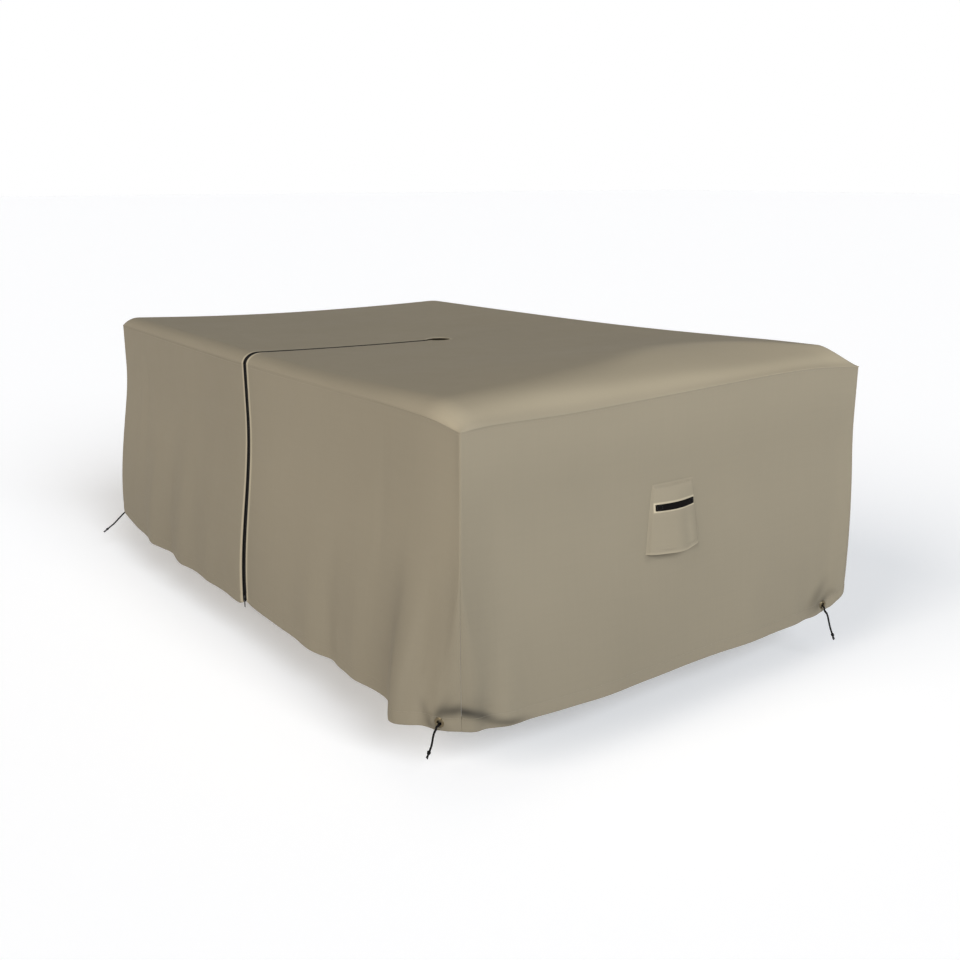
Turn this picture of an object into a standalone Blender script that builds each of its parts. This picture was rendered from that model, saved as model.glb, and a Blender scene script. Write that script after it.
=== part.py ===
"""Fitted outdoor cover for a dining set: five panels, a zip to an umbrella hole, a vent and four drawcords.

Metres. X runs along the length towards the vented end, Y across it towards the back, and Z is up. The
origin is under the middle of the top, where the cover rests on what it covers. Seen from outside, each
side runs from its left corner (place 0) to its right corner (place 1), and falls from the seam (drop 0)
to the hem (drop 1).
"""

import math
from collections import namedtuple

import bmesh
import bpy
from mathutils import Matrix, Vector

# Driving dimensions
LENGTH = 2.215
WIDTH = 1.387
FALL = 0.711  # from the seam's corners to the hem's, before the hem sags
CLOTH = 0.002
GAP = 0.0003
SEAM_GAP = 0.0004  # between the top's edge and the sides'

# The top: how high it stands above the seam's level, for sections along the length (0 is the far end)
TopRow = namedtuple("TopRow", "place front middle back")
TOP_ROWS = [
    TopRow(0.00, 0.034, 0.005, 0.012),
    TopRow(0.25, 0.036, 0.012, 0.019),
    TopRow(0.50, 0.036, 0.020, 0.029),
    TopRow(0.70, 0.036, 0.042, 0.042),
    TopRow(0.87, 0.045, 0.074, 0.056),
    TopRow(1.00, 0.051, 0.084, 0.065),
]
MIDDLE_RISE = 0.020
SEAM_LEVEL = CLOTH - MIDDLE_RISE
SHOULDER, ROUNDNESS = 0.050, 2.0  # how far in from the seam the cloth turns level, and along what curve
SHOULDER_STEPS = 4
SHOULDER_INSETS = [SHOULDER * (1 - math.cos(math.pi / 2 * step / SHOULDER_STEPS))
                   for step in range(SHOULDER_STEPS + 1)]
# The near end's own shoulder, from its left corner to its right. A roundness of 2 is a quarter of an ellipse
# and 1 is a straight slope.
Shoulder = namedtuple("Shoulder", "place width roundness")
NEAR_SHOULDER = [Shoulder(0.00, 0.130, 1.60), Shoulder(0.25, 0.165, 1.42), Shoulder(0.55, 0.230, 1.30),
                 Shoulder(0.78, 0.270, 1.25), Shoulder(0.89, 0.190, 1.20), Shoulder(0.96, 0.115, 1.15),
                 Shoulder(1.00, 0.113, 1.15)]
NEAR_INSETS = [0.000, 0.006, 0.026, 0.060, 0.113, 0.185, 0.270]
LEVEL_CORNER = 0.004  # the seam is level this far round each corner
UMBRELLA_RADIUS = 0.038
UMBRELLA_FORWARD = 0.018  # from the middle of the top towards the zip
UMBRELLA_SEGMENTS = 40

# The seam round the top: how far it is lifted over its level, from each side's left corner to its right
Lift = namedtuple("Lift", "place lift")
SEAM_LIFTS = {
    "front": [Lift(0.00, 0.000), Lift(0.50, 0.002), Lift(0.74, 0.009), Lift(0.86, 0.013), Lift(0.95, 0.010),
              Lift(1.00, 0.000)],
    "near_end": [Lift(0.00, 0.000), Lift(0.06, 0.005), Lift(0.22, 0.005), Lift(0.40, 0.012),
                 Lift(0.60, 0.021), Lift(0.76, 0.027), Lift(0.88, 0.025), Lift(1.00, 0.012)],
    "back": [Lift(0.00, 0.012), Lift(0.12, 0.018), Lift(0.40, 0.010), Lift(1.00, 0.002)],
    "far_end": [Lift(0.00, 0.002), Lift(0.50, -0.002), Lift(1.00, 0.000)],
}

# The corners: which way they lie, how far the hem stands out there, how round it is and how it sags
Corner = namedtuple("Corner", "x_side y_side flare_x flare_y radius sag")
CORNERS = {
    "near_front": Corner(1, -1, 0.018, 0.020, 0.085, 0.013),
    "near_back": Corner(1, 1, 0.020, 0.026, 0.045, -0.034),
    "far_back": Corner(-1, 1, 0.036, 0.036, 0.060, -0.002),
    "far_front": Corner(-1, -1, 0.046, 0.054, 0.060, 0.000),
}

# The sides: how far the hem stands out and sags between the corners, and the soft folds that cross it
Hang = namedtuple("Hang", "place flare sag")
Fold = namedtuple("Fold", "place before after height start")
Side = namedtuple("Side", "left right along outward length reach bow hangs folds")
SIDES = {
    "front": Side(
        "far_front", "near_front", Vector((1, 0, 0)), Vector((0, -1, 0)), LENGTH, WIDTH / 2, 0.007,
        [Hang(0.030, 0.056, 0.012), Hang(0.095, 0.062, 0.028), Hang(0.280, 0.060, 0.037),
         Hang(0.440, 0.052, 0.038), Hang(0.484, 0.049, 0.044), Hang(0.500, 0.040, 0.032),
         Hang(0.520, 0.041, 0.035), Hang(0.560, 0.042, 0.036),
         Hang(0.730, 0.038, 0.036), Hang(0.860, 0.032, 0.032), Hang(0.890, 0.032, 0.034),
         Hang(0.912, 0.034, 0.044), Hang(0.955, 0.032, 0.025)],
        [Fold(0.170, 0.055, 0.050, 0.013, 0.25), Fold(0.232, 0.045, 0.045, -0.009, 0.30),
         Fold(0.290, 0.060, 0.050, 0.010, 0.20), Fold(0.385, 0.060, 0.060, 0.007, 0.35),
         Fold(0.690, 0.060, 0.050, 0.006, 0.35), Fold(0.738, 0.040, 0.040, -0.011, 0.45),
         Fold(0.806, 0.050, 0.045, 0.008, 0.40), Fold(0.858, 0.050, 0.045, -0.004, 0.40),
         Fold(0.914, 0.048, 0.085, 0.043, 0.30), Fold(0.952, 0.026, 0.022, -0.004, 0.30),
         Fold(0.976, 0.024, 0.020, 0.003, 0.20)],
    ),
    "near_end": Side(
        "near_front", "near_back", Vector((0, 1, 0)), Vector((1, 0, 0)), WIDTH, LENGTH / 2, 0.004,
        [Hang(0.072, 0.024, 0.015), Hang(0.200, 0.033, 0.020), Hang(0.375, 0.029, 0.022),
         Hang(0.577, 0.018, 0.022), Hang(0.780, 0.013, 0.021), Hang(0.900, 0.008, 0.017),
         Hang(0.945, 0.006, 0.003)],
        [Fold(0.040, 0.020, 0.024, -0.009, 0.70), Fold(0.085, 0.024, 0.050, 0.007, 0.55),
         Fold(0.310, 0.090, 0.100, 0.005, 0.50), Fold(0.690, 0.100, 0.080, 0.004, 0.50),
         Fold(0.875, 0.035, 0.030, -0.006, 0.68), Fold(0.955, 0.025, 0.020, 0.004, 0.60)],
    ),
    "back": Side(
        "near_back", "far_back", Vector((-1, 0, 0)), Vector((0, 1, 0)), LENGTH, WIDTH / 2, 0.006,
        [Hang(0.050, 0.018, 0.010), Hang(0.200, 0.034, 0.030), Hang(0.500, 0.044, 0.036),
         Hang(0.800, 0.050, 0.034), Hang(0.950, 0.038, 0.014)],
        [Fold(0.090, 0.050, 0.060, 0.018, 0.25), Fold(0.160, 0.045, 0.050, -0.008, 0.35),
         Fold(0.330, 0.070, 0.060, 0.009, 0.35), Fold(0.470, 0.060, 0.060, -0.007, 0.40),
         Fold(0.620, 0.060, 0.070, 0.010, 0.30), Fold(0.850, 0.060, 0.055, 0.014, 0.25),
         Fold(0.925, 0.040, 0.035, -0.007, 0.35)],
    ),
    "far_end": Side(
        "far_back", "far_front", Vector((0, -1, 0)), Vector((-1, 0, 0)), WIDTH, LENGTH / 2, 0.004,
        [Hang(0.080, 0.030, 0.012), Hang(0.300, 0.036, 0.024), Hang(0.600, 0.034, 0.024),
         Hang(0.920, 0.040, 0.014)],
        [Fold(0.130, 0.050, 0.050, 0.014, 0.25), Fold(0.420, 0.080, 0.070, 0.007, 0.40),
         Fold(0.860, 0.050, 0.045, 0.012, 0.30)],
    ),
}
FLARE_START, FLARE_RANGE = 0.20, 0.75  # where down the side the cloth begins to stand out, and over what
FOLD_FREE = 0.045  # folds fade out this near a corner
SEAM_RADIUS = 0.004  # the corners are crisp above and grow round towards the hem
ROUND_START = 0.40
MITRE_TRIM = GAP * math.sqrt(0.5)  # two sides meet at 45 degrees

# The hem: the cloth turned up inside as a channel for the drawcord
HEM_HEIGHT = 0.040
CHANNEL = 0.0039  # depth of the channel
HEM_BEND = CHANNEL / 2 + CLOTH
HEM_CLOSES = 0.028  # above this height the hem's back comes up against the side
ROW_ABOVE_HEM = 0.060
LOWER_ROWS = (0.044, 0.024)
UPPER_ROWS = 7

# Extra columns of points: across the front's folds, beside the zip, round an eyelet and by the end's corner
FOLD_COLUMNS = ((0.100, 0.340, 6), (0.885, 0.968, 7))  # from a place to a place, in so many spaces
CORNER_COLUMNS = (0.030, 0.050, 0.075)
EYELET_COLUMNS = (-0.040, -0.016, 0.000, 0.016)

# The zip, up the middle of the front and over the top to the umbrella hole
ZIP_SLOT = 0.018
ZIP_CHAIN_WIDTH = 0.007
ZIP_CHAIN_SINK, ZIP_CHAIN_DEPTH = 0.0002, 0.0020
ZIP_TAPE_GAP = 0.0004  # between the two tapes
ZIP_TAPE_REACH, ZIP_TAPE_SINK, ZIP_TAPE_THICKNESS = 0.017, 0.0027, 0.0010
ZIP_END = 0.007  # height of the zip's lower end above the hem
ZIP_COLUMNS = (ZIP_TAPE_REACH, 0.031, 0.049, 0.093)
ZIP_SHORT_OF_HOLE = 0.001
LEAST_SPACE = 0.01  # between the last two rows of the zip, as a share of the width
HEM_OPENS = 0.030  # the hem's upper edge stands off over this length beside the zip's tapes
SLIDER_HEIGHT = 0.014

# The vent on the near end: a scoop sewn at its top and sides, over a cut-out in the panel
VENT_PLACE = 0.472
VENT_TOP, VENT_LIP = 0.211, 0.388  # below the seam's level
VENT_TOP_WIDTH, VENT_LIP_WIDTH = 0.149, 0.194
VENT_BULGE, VENT_BULGE_POWER = 0.030, 0.7
VENT_CUT_TOP, VENT_CUT_BOTTOM, VENT_CUT_WIDTH = 0.300, 0.358, 0.090
VENT_COLUMNS, VENT_ROWS = 12, 8
VENT_STAND_OFF, HANDLE_STAND_OFF = 0.0008, 0.0006  # over the facets behind
HANDLE_LEVEL, HANDLE_LENGTH, HANDLE_WIDTH, HANDLE_THICKNESS = 0.270, 0.135, 0.016, 0.002

# The eyelets, one near the right end of each side, and their drawcord ends
Eyelet = namedtuple("Eyelet", "side from_right height")
EYELETS = {
    "near_front": Eyelet("front", 0.043, 0.0225),
    "near_back": Eyelet("near_end", 0.096, 0.0240),
    "far_back": Eyelet("back", 0.070, 0.0230),
    "far_front": Eyelet("far_end", 0.050, 0.0225),
}
EYELET_FLAT, EYELET_FADE = 0.021, 0.012  # the cloth is flat this far round an eyelet, then fades to its folds
BORE_RADIUS, BARREL_RADIUS = 0.0060, 0.0070
FLANGE_RADIUS, FLANGE_HEIGHT = 0.0130, 0.0020
WASHER_RADIUS, WASHER_THICKNESS = 0.0100, 0.0007
EYELET_SEAT = 1.5 * GAP  # between the eyelet and the cloth
EYELET_SEGMENTS = 20

STRAND_RADIUS = 0.0015
STRAND_SPREAD = 0.00170  # from the cord's middle to a strand's
# Each route starts inside the hem's channel. Out from the side, along it to the right, and down, in mm.
RoutePoint = namedtuple("RoutePoint", "out side down")
ROUTE_START = [RoutePoint(-4.2, 0, 3.4), RoutePoint(0.0, 0, 3.4), RoutePoint(3.4, 0, 3.6),
               RoutePoint(6.8, 0, 5.8), RoutePoint(8.8, 0, 10.0), RoutePoint(9.6, 0, 15.5)]
NORMAL_POINTS = 4  # the route leaves the eyelet squarely, and then hangs
ROUTE_ENDS = {
    "near_front": [RoutePoint(9.9, -3.5, 20.5), RoutePoint(10.3, -8.0, 29), RoutePoint(10.8, -11.5, 40),
                   RoutePoint(11.4, -14.0, 53), RoutePoint(12.4, -17.5, 67), RoutePoint(14.2, -22.5, 81)],
    "near_back": [RoutePoint(10.0, 4.5, 20.5), RoutePoint(10.4, 12.0, 29), RoutePoint(11.2, 18.5, 44),
                  RoutePoint(12.2, 24.0, 61), RoutePoint(13.6, 30.5, 79), RoutePoint(15.5, 37.5, 96)],
    "far_back": [RoutePoint(10.2, -0.2, 23), RoutePoint(11.0, -1.0, 34), RoutePoint(12.0, -2.4, 45),
                 RoutePoint(13.4, -4.2, 56), RoutePoint(14.8, -6.6, 67), RoutePoint(16.2, -9.2, 77)],
    "far_front": [RoutePoint(10.6, 3.5, 20), RoutePoint(14.5, 24.0, 27), RoutePoint(20.0, 47.0, 40),
                  RoutePoint(27.0, 68.0, 60), RoutePoint(36.0, 89.0, 83), RoutePoint(46.0, 110.0, 102)],
}
STRAND_POINTS = 19
CLOSER_EARLY = 1.35  # over 1, a strand's points lie closer together by the eyelet, where it bends most
KNOT_RADIUS, KNOT_LENGTH = 0.0046, 0.0095
TAIL_LENGTH = 0.013

COLOURS = {
    "taupe": (0.300, 0.262, 0.190, 0.85, 0.0),
    "black_zip": (0.012, 0.012, 0.013, 0.55, 0.0),
    "black_webbing": (0.016, 0.016, 0.018, 0.80, 0.0),
    "dark_metal": (0.120, 0.120, 0.125, 0.35, 1.0),
    "brass": (0.230, 0.185, 0.110, 0.28, 1.0),
    "cord": (0.020, 0.020, 0.021, 0.85, 0.0),
}


def clear_scene():
    for old in list(bpy.data.objects):
        bpy.data.objects.remove(old)


def material(name):
    made = bpy.data.materials.get(name)
    if made is None:
        made = bpy.data.materials.new(name)
        made.use_nodes = True
        red, green, blue, roughness, metallic = COLOURS[name]
        shader = made.node_tree.nodes["Principled BSDF"]
        shader.inputs["Base Color"].default_value = (red, green, blue, 1.0)
        shader.inputs["Roughness"].default_value = roughness
        shader.inputs["Metallic"].default_value = metallic
    return made


def add_object(name, mesh, finish):
    made = bpy.data.objects.new(name, mesh)
    bpy.context.scene.collection.objects.link(made)
    mesh.materials.append(material(finish))
    return made


def mesh_from(name, shape):
    bmesh.ops.recalc_face_normals(shape, faces=shape.faces)
    mesh = bpy.data.meshes.new(name)
    shape.to_mesh(mesh)
    shape.free()
    mesh.shade_smooth()
    mesh.set_sharp_from_angle(angle=math.radians(40))
    return mesh


def smooth_step(value):
    clipped = min(max(value, 0.0), 1.0)
    return clipped * clipped * (3 - 2 * clipped)


def between(start, end, share):
    return start + (end - start) * share


def curve_value(places, values, place):
    """A smooth curve through the values, with each tangent taken from its two neighbours."""
    last = len(places) - 1
    index = min(max(sum(known <= place for known in places) - 1, 0), last - 1)
    span = places[index + 1] - places[index]
    share = (place - places[index]) / span

    def tangent(at):
        before, after = max(at - 1, 0), min(at + 1, last)
        return (values[after] - values[before]) / (places[after] - places[before]) * span

    start, end = values[index], values[index + 1]
    square, cube = share**2, share**3
    return (
        start * (2 * cube - 3 * square + 1)
        + tangent(index) * (cube - 2 * square + share)
        + end * (3 * square - 2 * cube)
        + tangent(index + 1) * (cube - square)
    )


def seam_places(length, spaces, last_insets, middle_slot=0.0):
    """Places along a seam where the top and the sides both have a point."""
    first = [inset / length for inset in SHOULDER_INSETS]
    last = [1 - inset / length for inset in last_insets]
    inner = [between(first[-1], last[-1], step / spaces) for step in range(1, spaces)]
    if middle_slot:
        half = middle_slot / 2 / length
        inner = [place for place in inner if abs(place - 0.5) > 4 * half] + [0.5 - half, 0.5 + half]
    return sorted(first + inner + last)


def mirrored(places):
    return [1 - place for place in reversed(places)]


LONG_PLACES = seam_places(LENGTH, 13, NEAR_INSETS, ZIP_SLOT)
SHORT_PLACES = seam_places(WIDTH, 10, SHOULDER_INSETS)
SEAM_PLACES = {  # for the side that starts at each corner
    "far_front": LONG_PLACES, "near_front": SHORT_PLACES,
    "near_back": mirrored(LONG_PLACES), "far_back": mirrored(SHORT_PLACES),
}


def seam_lift(side_name, place, length):
    """The seam's lift at a place, level close to the corners."""
    level = LEVEL_CORNER / length
    place = min(max((place - level) / (1 - 2 * level), 0.0), 1.0)
    rows = SEAM_LIFTS[side_name]
    return curve_value([row.place for row in rows], [row.lift for row in rows], place)


def seam_level(place_x, place_y):
    """Height of the seam, or over the top of the surface that the four seams would carry between them."""
    front, back = seam_lift("front", place_x, LENGTH), seam_lift("back", 1 - place_x, LENGTH)
    near, far = seam_lift("near_end", place_y, WIDTH), seam_lift("far_end", 1 - place_y, WIDTH)
    near_front, near_back = SEAM_LIFTS["near_end"][0].lift, SEAM_LIFTS["near_end"][-1].lift
    far_back, far_front = SEAM_LIFTS["far_end"][0].lift, SEAM_LIFTS["far_end"][-1].lift
    corners = between(between(far_front, far_back, place_y), between(near_front, near_back, place_y), place_x)
    return SEAM_LEVEL + between(front, back, place_y) + between(far, near, place_x) - corners


def along_seam(side, place, measure):
    """A measure of the seam at a place, straight between the points that the top and the side share."""
    places = SEAM_PLACES[side.left]
    index = min(max(sum(known <= place for known in places) - 1, 0), len(places) - 2)
    share = (place - places[index]) / (places[index + 1] - places[index])
    return between(measure(side, places[index]), measure(side, places[index + 1]), share)


def bow_at(side, place):
    return side.bow * math.sin(math.pi * place)


def level_at(side, place):
    left, right = CORNERS[side.left], CORNERS[side.right]
    place_x = between((left.x_side + 1) / 2, (right.x_side + 1) / 2, place)
    place_y = between((left.y_side + 1) / 2, (right.y_side + 1) / 2, place)
    return seam_level(place_x, place_y)


def corner_flare(corner):
    return Vector((corner.x_side * corner.flare_x, corner.y_side * corner.flare_y, 0))


def hem_measure(side, place, column):
    left, right = CORNERS[side.left], CORNERS[side.right]
    first = Hang(0, corner_flare(left).dot(side.outward), left.sag)
    last = Hang(1, corner_flare(right).dot(side.outward), right.sag)
    rows = [first] + side.hangs + [last]
    return curve_value([row.place for row in rows], [getattr(row, column) for row in rows], place)


def side_height(side, place):
    """From the hem's lower edge to the seam, straight up."""
    return along_seam(side, place, level_at) - (SEAM_LEVEL - FALL - hem_measure(side, place, "sag"))


def fold_relief(side, place, drop):
    from_corner = min(place, 1 - place) * side.length
    relief = 0.0
    for fold in side.folds:
        offset = (place - fold.place) * side.length
        width = fold.before if offset < 0 else fold.after
        grown = smooth_step((drop - fold.start) / (1 - fold.start))
        relief += fold.height * grown * math.exp(-((offset / width) ** 2))
    return relief * smooth_step(from_corner / FOLD_FREE)


def corner_radius(corner, drop):
    return between(SEAM_RADIUS, corner.radius, smooth_step((drop - ROUND_START) / (1 - ROUND_START)))


def corner_cut(radius):
    """How far short of its sharp corner a side's panel ends."""
    return radius * (1 - math.sqrt(0.5)) + MITRE_TRIM


def free_point(side, place, drop):
    """(along, out, up) of the side's outer face, as the folds alone would have it, and the sine of its turn.

    The turn is the corner's: nothing along the side, and 45 degrees either way where two sides meet.
    """
    corners = CORNERS[side.left], CORNERS[side.right]
    stand = smooth_step((drop - FLARE_START) / FLARE_RANGE)
    left, right = (corner_flare(corner).dot(side.along) * stand for corner in corners)
    left, right = left - side.length / 2, right + side.length / 2
    radii = [corner_radius(corner, drop) for corner in corners]
    along = between(left + corner_cut(radii[0]), right - corner_cut(radii[1]), place)
    turns = max(0.0, 1 - (along - left) / radii[0]), max(0.0, 1 - (right - along) / radii[1])
    rounding = sum(radius * (1 - math.sqrt(1 - turn**2)) for radius, turn in zip(radii, turns))
    seam_cut = corner_cut(SEAM_RADIUS) / side.length
    at_seam = between(seam_cut, 1 - seam_cut, place)
    out = side.reach + along_seam(side, at_seam, bow_at) * (1 - drop) - rounding
    out += hem_measure(side, place, "flare") * stand + fold_relief(side, place, drop)
    up = along_seam(side, at_seam, level_at) - SEAM_GAP / 2 - drop * (side_height(side, place) - SEAM_GAP / 2)
    return (along, out, up), turns[1] - turns[0]


def eyelet_of(side):
    return next(eyelet for eyelet in EYELETS.values() if SIDES[eyelet.side] is side)


def eyelet_plane(side):
    """The middle of a side's eyelet as (along, out, up), and the slopes of its flat, along and up."""
    eyelet = eyelet_of(side)
    place = 1 - eyelet.from_right / side.length
    drop = 1 - eyelet.height / side_height(side, place)
    step = EYELET_FADE

    def free(place_step, drop_step):
        return Vector(free_point(side, place + place_step / side.length, drop + drop_step / FALL)[0])

    across = free(step, 0) - free(-step, 0)
    downward = free(0, 0) - free(0, -step)
    turn = across.x * downward.z - across.z * downward.x
    slope_along = (across.y * downward.z - across.z * downward.y) / turn
    slope_up = (across.x * downward.y - across.y * downward.x) / turn
    return free(0, 0), slope_along, slope_up


EYELET_PLANES = {name: eyelet_plane(side) for name, side in SIDES.items()}


def side_point(name, place, drop, depth=0.0):
    """A point of a side's panel, this deep behind its outer face."""
    side = SIDES[name]
    (along, out, up), turn = free_point(side, place, drop)
    middle, slope_along, slope_up = EYELET_PLANES[name]
    away = math.hypot(along - middle.x, up - middle.z)
    flat = middle.y + slope_along * (along - middle.x) + slope_up * (up - middle.z)
    out = between(flat, out, smooth_step((away - EYELET_FLAT) / EYELET_FADE))
    along -= depth * turn
    out -= depth * math.sqrt(1 - turn**2)
    return side.along * along + side.outward * out + Vector((0, 0, up))


def point_above_hem(name, place, height, depth=0.0):
    return side_point(name, place, 1 - height / side_height(SIDES[name], place), depth)


def shoulder(inset, width, roundness):
    """The share of its height that a shoulder has risen this far in, and its slope there times the rest."""
    left = max(0.0, 1 - inset / width)
    rise = (1 - left**roundness) ** (1 / roundness)
    return rise, left ** (roundness - 1) / width, rise ** (roundness - 1)


def top_frame(place_x, place_y):
    """The top's outer point and the unit direction into the cloth there."""
    front, near_end = SIDES["front"], SIDES["near_end"]
    half_x = LENGTH / 2 + bow_at(near_end, place_y)
    half_y = WIDTH / 2 + (front.bow if place_y < 0.5 else SIDES["back"].bow) * math.sin(math.pi * place_x)
    x, y = (2 * place_x - 1) * half_x, (2 * place_y - 1) * half_y
    near = [[getattr(row, column) for row in NEAR_SHOULDER] for column in ("place", "width", "roundness")]
    width, roundness = (curve_value(near[0], values, place_y) for values in near[1:])
    if place_x < 0.5:
        rise_x, slope_x, scale_x = shoulder(place_x * LENGTH, SHOULDER, ROUNDNESS)
    else:
        rise_x, slope_x, scale_x = shoulder((1 - place_x) * LENGTH, width, roundness)
    rise_y, slope_y, scale_y = shoulder(min(place_y, 1 - place_y) * WIDTH, SHOULDER, ROUNDNESS)
    places = [row.place for row in TOP_ROWS]
    at_front, at_middle, at_back = (
        curve_value(places, [getattr(row, column) for row in TOP_ROWS], place_x)
        for column in ("front", "middle", "back"))
    across = 2 * place_y - 1
    rise = at_middle + across * (at_back - at_front) / 2 + across**2 * ((at_back + at_front) / 2 - at_middle)
    level = seam_level(place_x, place_y)
    height = SEAM_LEVEL + rise - level
    z = level + SEAM_GAP / 2 + height * rise_x * rise_y
    into = Vector((
        -math.copysign(height * slope_x * rise_y * scale_y, x),
        -math.copysign(height * slope_y * rise_x * scale_x, y),
        -scale_x * scale_y,
    ))
    if into.length < 1e-6:
        into = Vector((-math.copysign(1, x), -math.copysign(1, y), 0)) * math.sqrt(0.5)
        return Vector((x, y, z)), into * math.sqrt(2)
    return Vector((x, y, z)), into.normalized()


def top_point(place_x, place_y, depth=0.0):
    point, into = top_frame(place_x, place_y)
    return point + into * depth


def closed_sheet(shape, outer, inner):
    """Adds a closed sheet between two like grids of points to a bmesh."""
    rows, columns = len(outer), len(outer[0])
    faces = [[[shape.verts.new(point) for point in row] for row in grid] for grid in (outer, inner)]
    for skin in faces:
        for row in range(rows - 1):
            for column in range(columns - 1):
                shape.faces.new((skin[row][column], skin[row][column + 1],
                                 skin[row + 1][column + 1], skin[row + 1][column]))
    front, behind = faces
    rim = [(0, column) for column in range(columns)]
    rim += [(row, columns - 1) for row in range(1, rows)]
    rim += [(rows - 1, column) for column in range(columns - 2, -1, -1)]
    rim += [(row, 0) for row in range(rows - 2, 0, -1)]
    for (row, column), (next_row, next_column) in zip(rim, rim[1:] + rim[:1]):
        shape.faces.new((front[row][column], front[next_row][next_column],
                         behind[next_row][next_column], behind[row][column]))


def sheet_object(name, outer, inner, finish):
    shape = bmesh.new()
    closed_sheet(shape, outer, inner)
    return add_object(name, mesh_from(name, shape), finish)


def cut_away(target, cutters):
    for cutter in cutters:
        cutter.hide_render = True
        cutter.display_type = "WIRE"
        cut = target.modifiers.new("cut " + cutter.name, "BOOLEAN")
        cut.operation = "DIFFERENCE"
        cut.object = cutter


def box_matrix(low, high):
    """Turns a unit cube at the origin into the box between two corners."""
    size, middle = Vector(high) - Vector(low), (Vector(high) + Vector(low)) / 2
    return Matrix.Translation(middle) @ Matrix.Diagonal(size.to_4d())


def box_cutter(name, low, high):
    shape = bmesh.new()
    bmesh.ops.create_cube(shape, size=1.0, matrix=box_matrix(low, high))
    return add_object(name, mesh_from(name, shape), "taupe")


def round_cutter(name, radius, start, end, segments):
    """A cylinder between two points."""
    shape = bmesh.new()
    turn = (end - start).to_track_quat("Z", "Y").to_matrix().to_4x4()
    bmesh.ops.create_cone(shape, cap_ends=True, segments=segments, radius1=radius, radius2=radius,
                          depth=(end - start).length, matrix=Matrix.Translation((start + end) / 2) @ turn)
    return add_object(name, mesh_from(name, shape), "taupe")


def make_top():
    outer = [[top_point(x, y) for x in LONG_PLACES] for y in SHORT_PLACES]
    inner = [[top_point(x, y, CLOTH) for x in LONG_PLACES] for y in SHORT_PLACES]
    top = sheet_object("top_panel", outer, inner, "taupe")
    clear = 0.1
    slit = box_cutter("zip_slit", (-ZIP_SLOT / 2, -WIDTH / 2 - clear, -clear), (ZIP_SLOT / 2, 0, clear))
    hole = round_cutter("umbrella_hole", UMBRELLA_RADIUS, Vector((0, -UMBRELLA_FORWARD, -clear)),
                        Vector((0, -UMBRELLA_FORWARD, clear)), UMBRELLA_SEGMENTS)
    cut_away(top, [slit, hole])


HemRow = namedtuple("HemRow", "height outer_depth inner_height inner_depth")


def hem_rows():
    """The turned-up hem, from the last row of the side, round the bend and up behind it.

    The outer depth belongs to the face that shows, and the inner one to the face in the channel.
    """
    rows = []
    inner_bend = CHANNEL / 2
    for quarter in (1, 2, 3, 4):
        low, deep = math.sin(math.pi / 4 * quarter), 1 - math.cos(math.pi / 4 * quarter)
        rows.append(HemRow(HEM_BEND * (1 - low), HEM_BEND * deep,
                           HEM_BEND - inner_bend * low, HEM_BEND - inner_bend * (1 - deep)))
    back = 2 * HEM_BEND
    rows.append(HemRow(HEM_CLOSES, back, HEM_CLOSES, back - CLOTH))
    rows.append(HemRow(HEM_HEIGHT, 2 * CLOTH + GAP, HEM_HEIGHT, CLOTH + GAP))
    return rows


def side_panel(name, side_name, start, end, extra):
    """One sheet of a side, from the seam to the hem and up behind it, between two places."""
    side = SIDES[side_name]
    places = SEAM_PLACES[side.left]
    inside = sorted({place for place in places + extra if start < place < end})
    columns = [start] + [place for place in inside if min(place - start, end - place) > 1e-4] + [end]
    outer, inner = [], []
    for row in range(UPPER_ROWS + 1):
        drops = [row / UPPER_ROWS * (1 - ROW_ABOVE_HEM / side_height(side, place)) for place in columns]
        for grid, depth in ((outer, 0.0), (inner, CLOTH)):
            grid.append([side_point(side_name, place, drop, depth) for place, drop in zip(columns, drops)])
    rows = [HemRow(height, 0.0, height, CLOTH) for height in LOWER_ROWS + (HEM_BEND,)] + hem_rows()
    for row in rows:
        faces = (outer, row.height, row.outer_depth), (inner, row.inner_height, row.inner_depth)
        for grid, height, depth in faces:
            grid.append([point_above_hem(side_name, place, height, hem_depth(side, place, row, depth))
                         for place in columns])
    return sheet_object(name, outer, inner, "taupe")


def hem_depth(side, place, row, depth):
    """The hem's upper edge lies against the side, except behind the zip, whose tapes pass between."""
    if side is not SIDES["front"] or row.height < HEM_HEIGHT or row.outer_depth == 0:
        return depth
    from_zip = abs(place - 0.5) * side.length
    standing = 2 * HEM_BEND - 2 * CLOTH - GAP
    return depth + standing * (1 - smooth_step((from_zip - ZIP_TAPE_REACH - CLOTH) / HEM_OPENS))


def around_eyelet(side):
    return [1 - (eyelet_of(side).from_right - offset) / side.length for offset in EYELET_COLUMNS]


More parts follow.
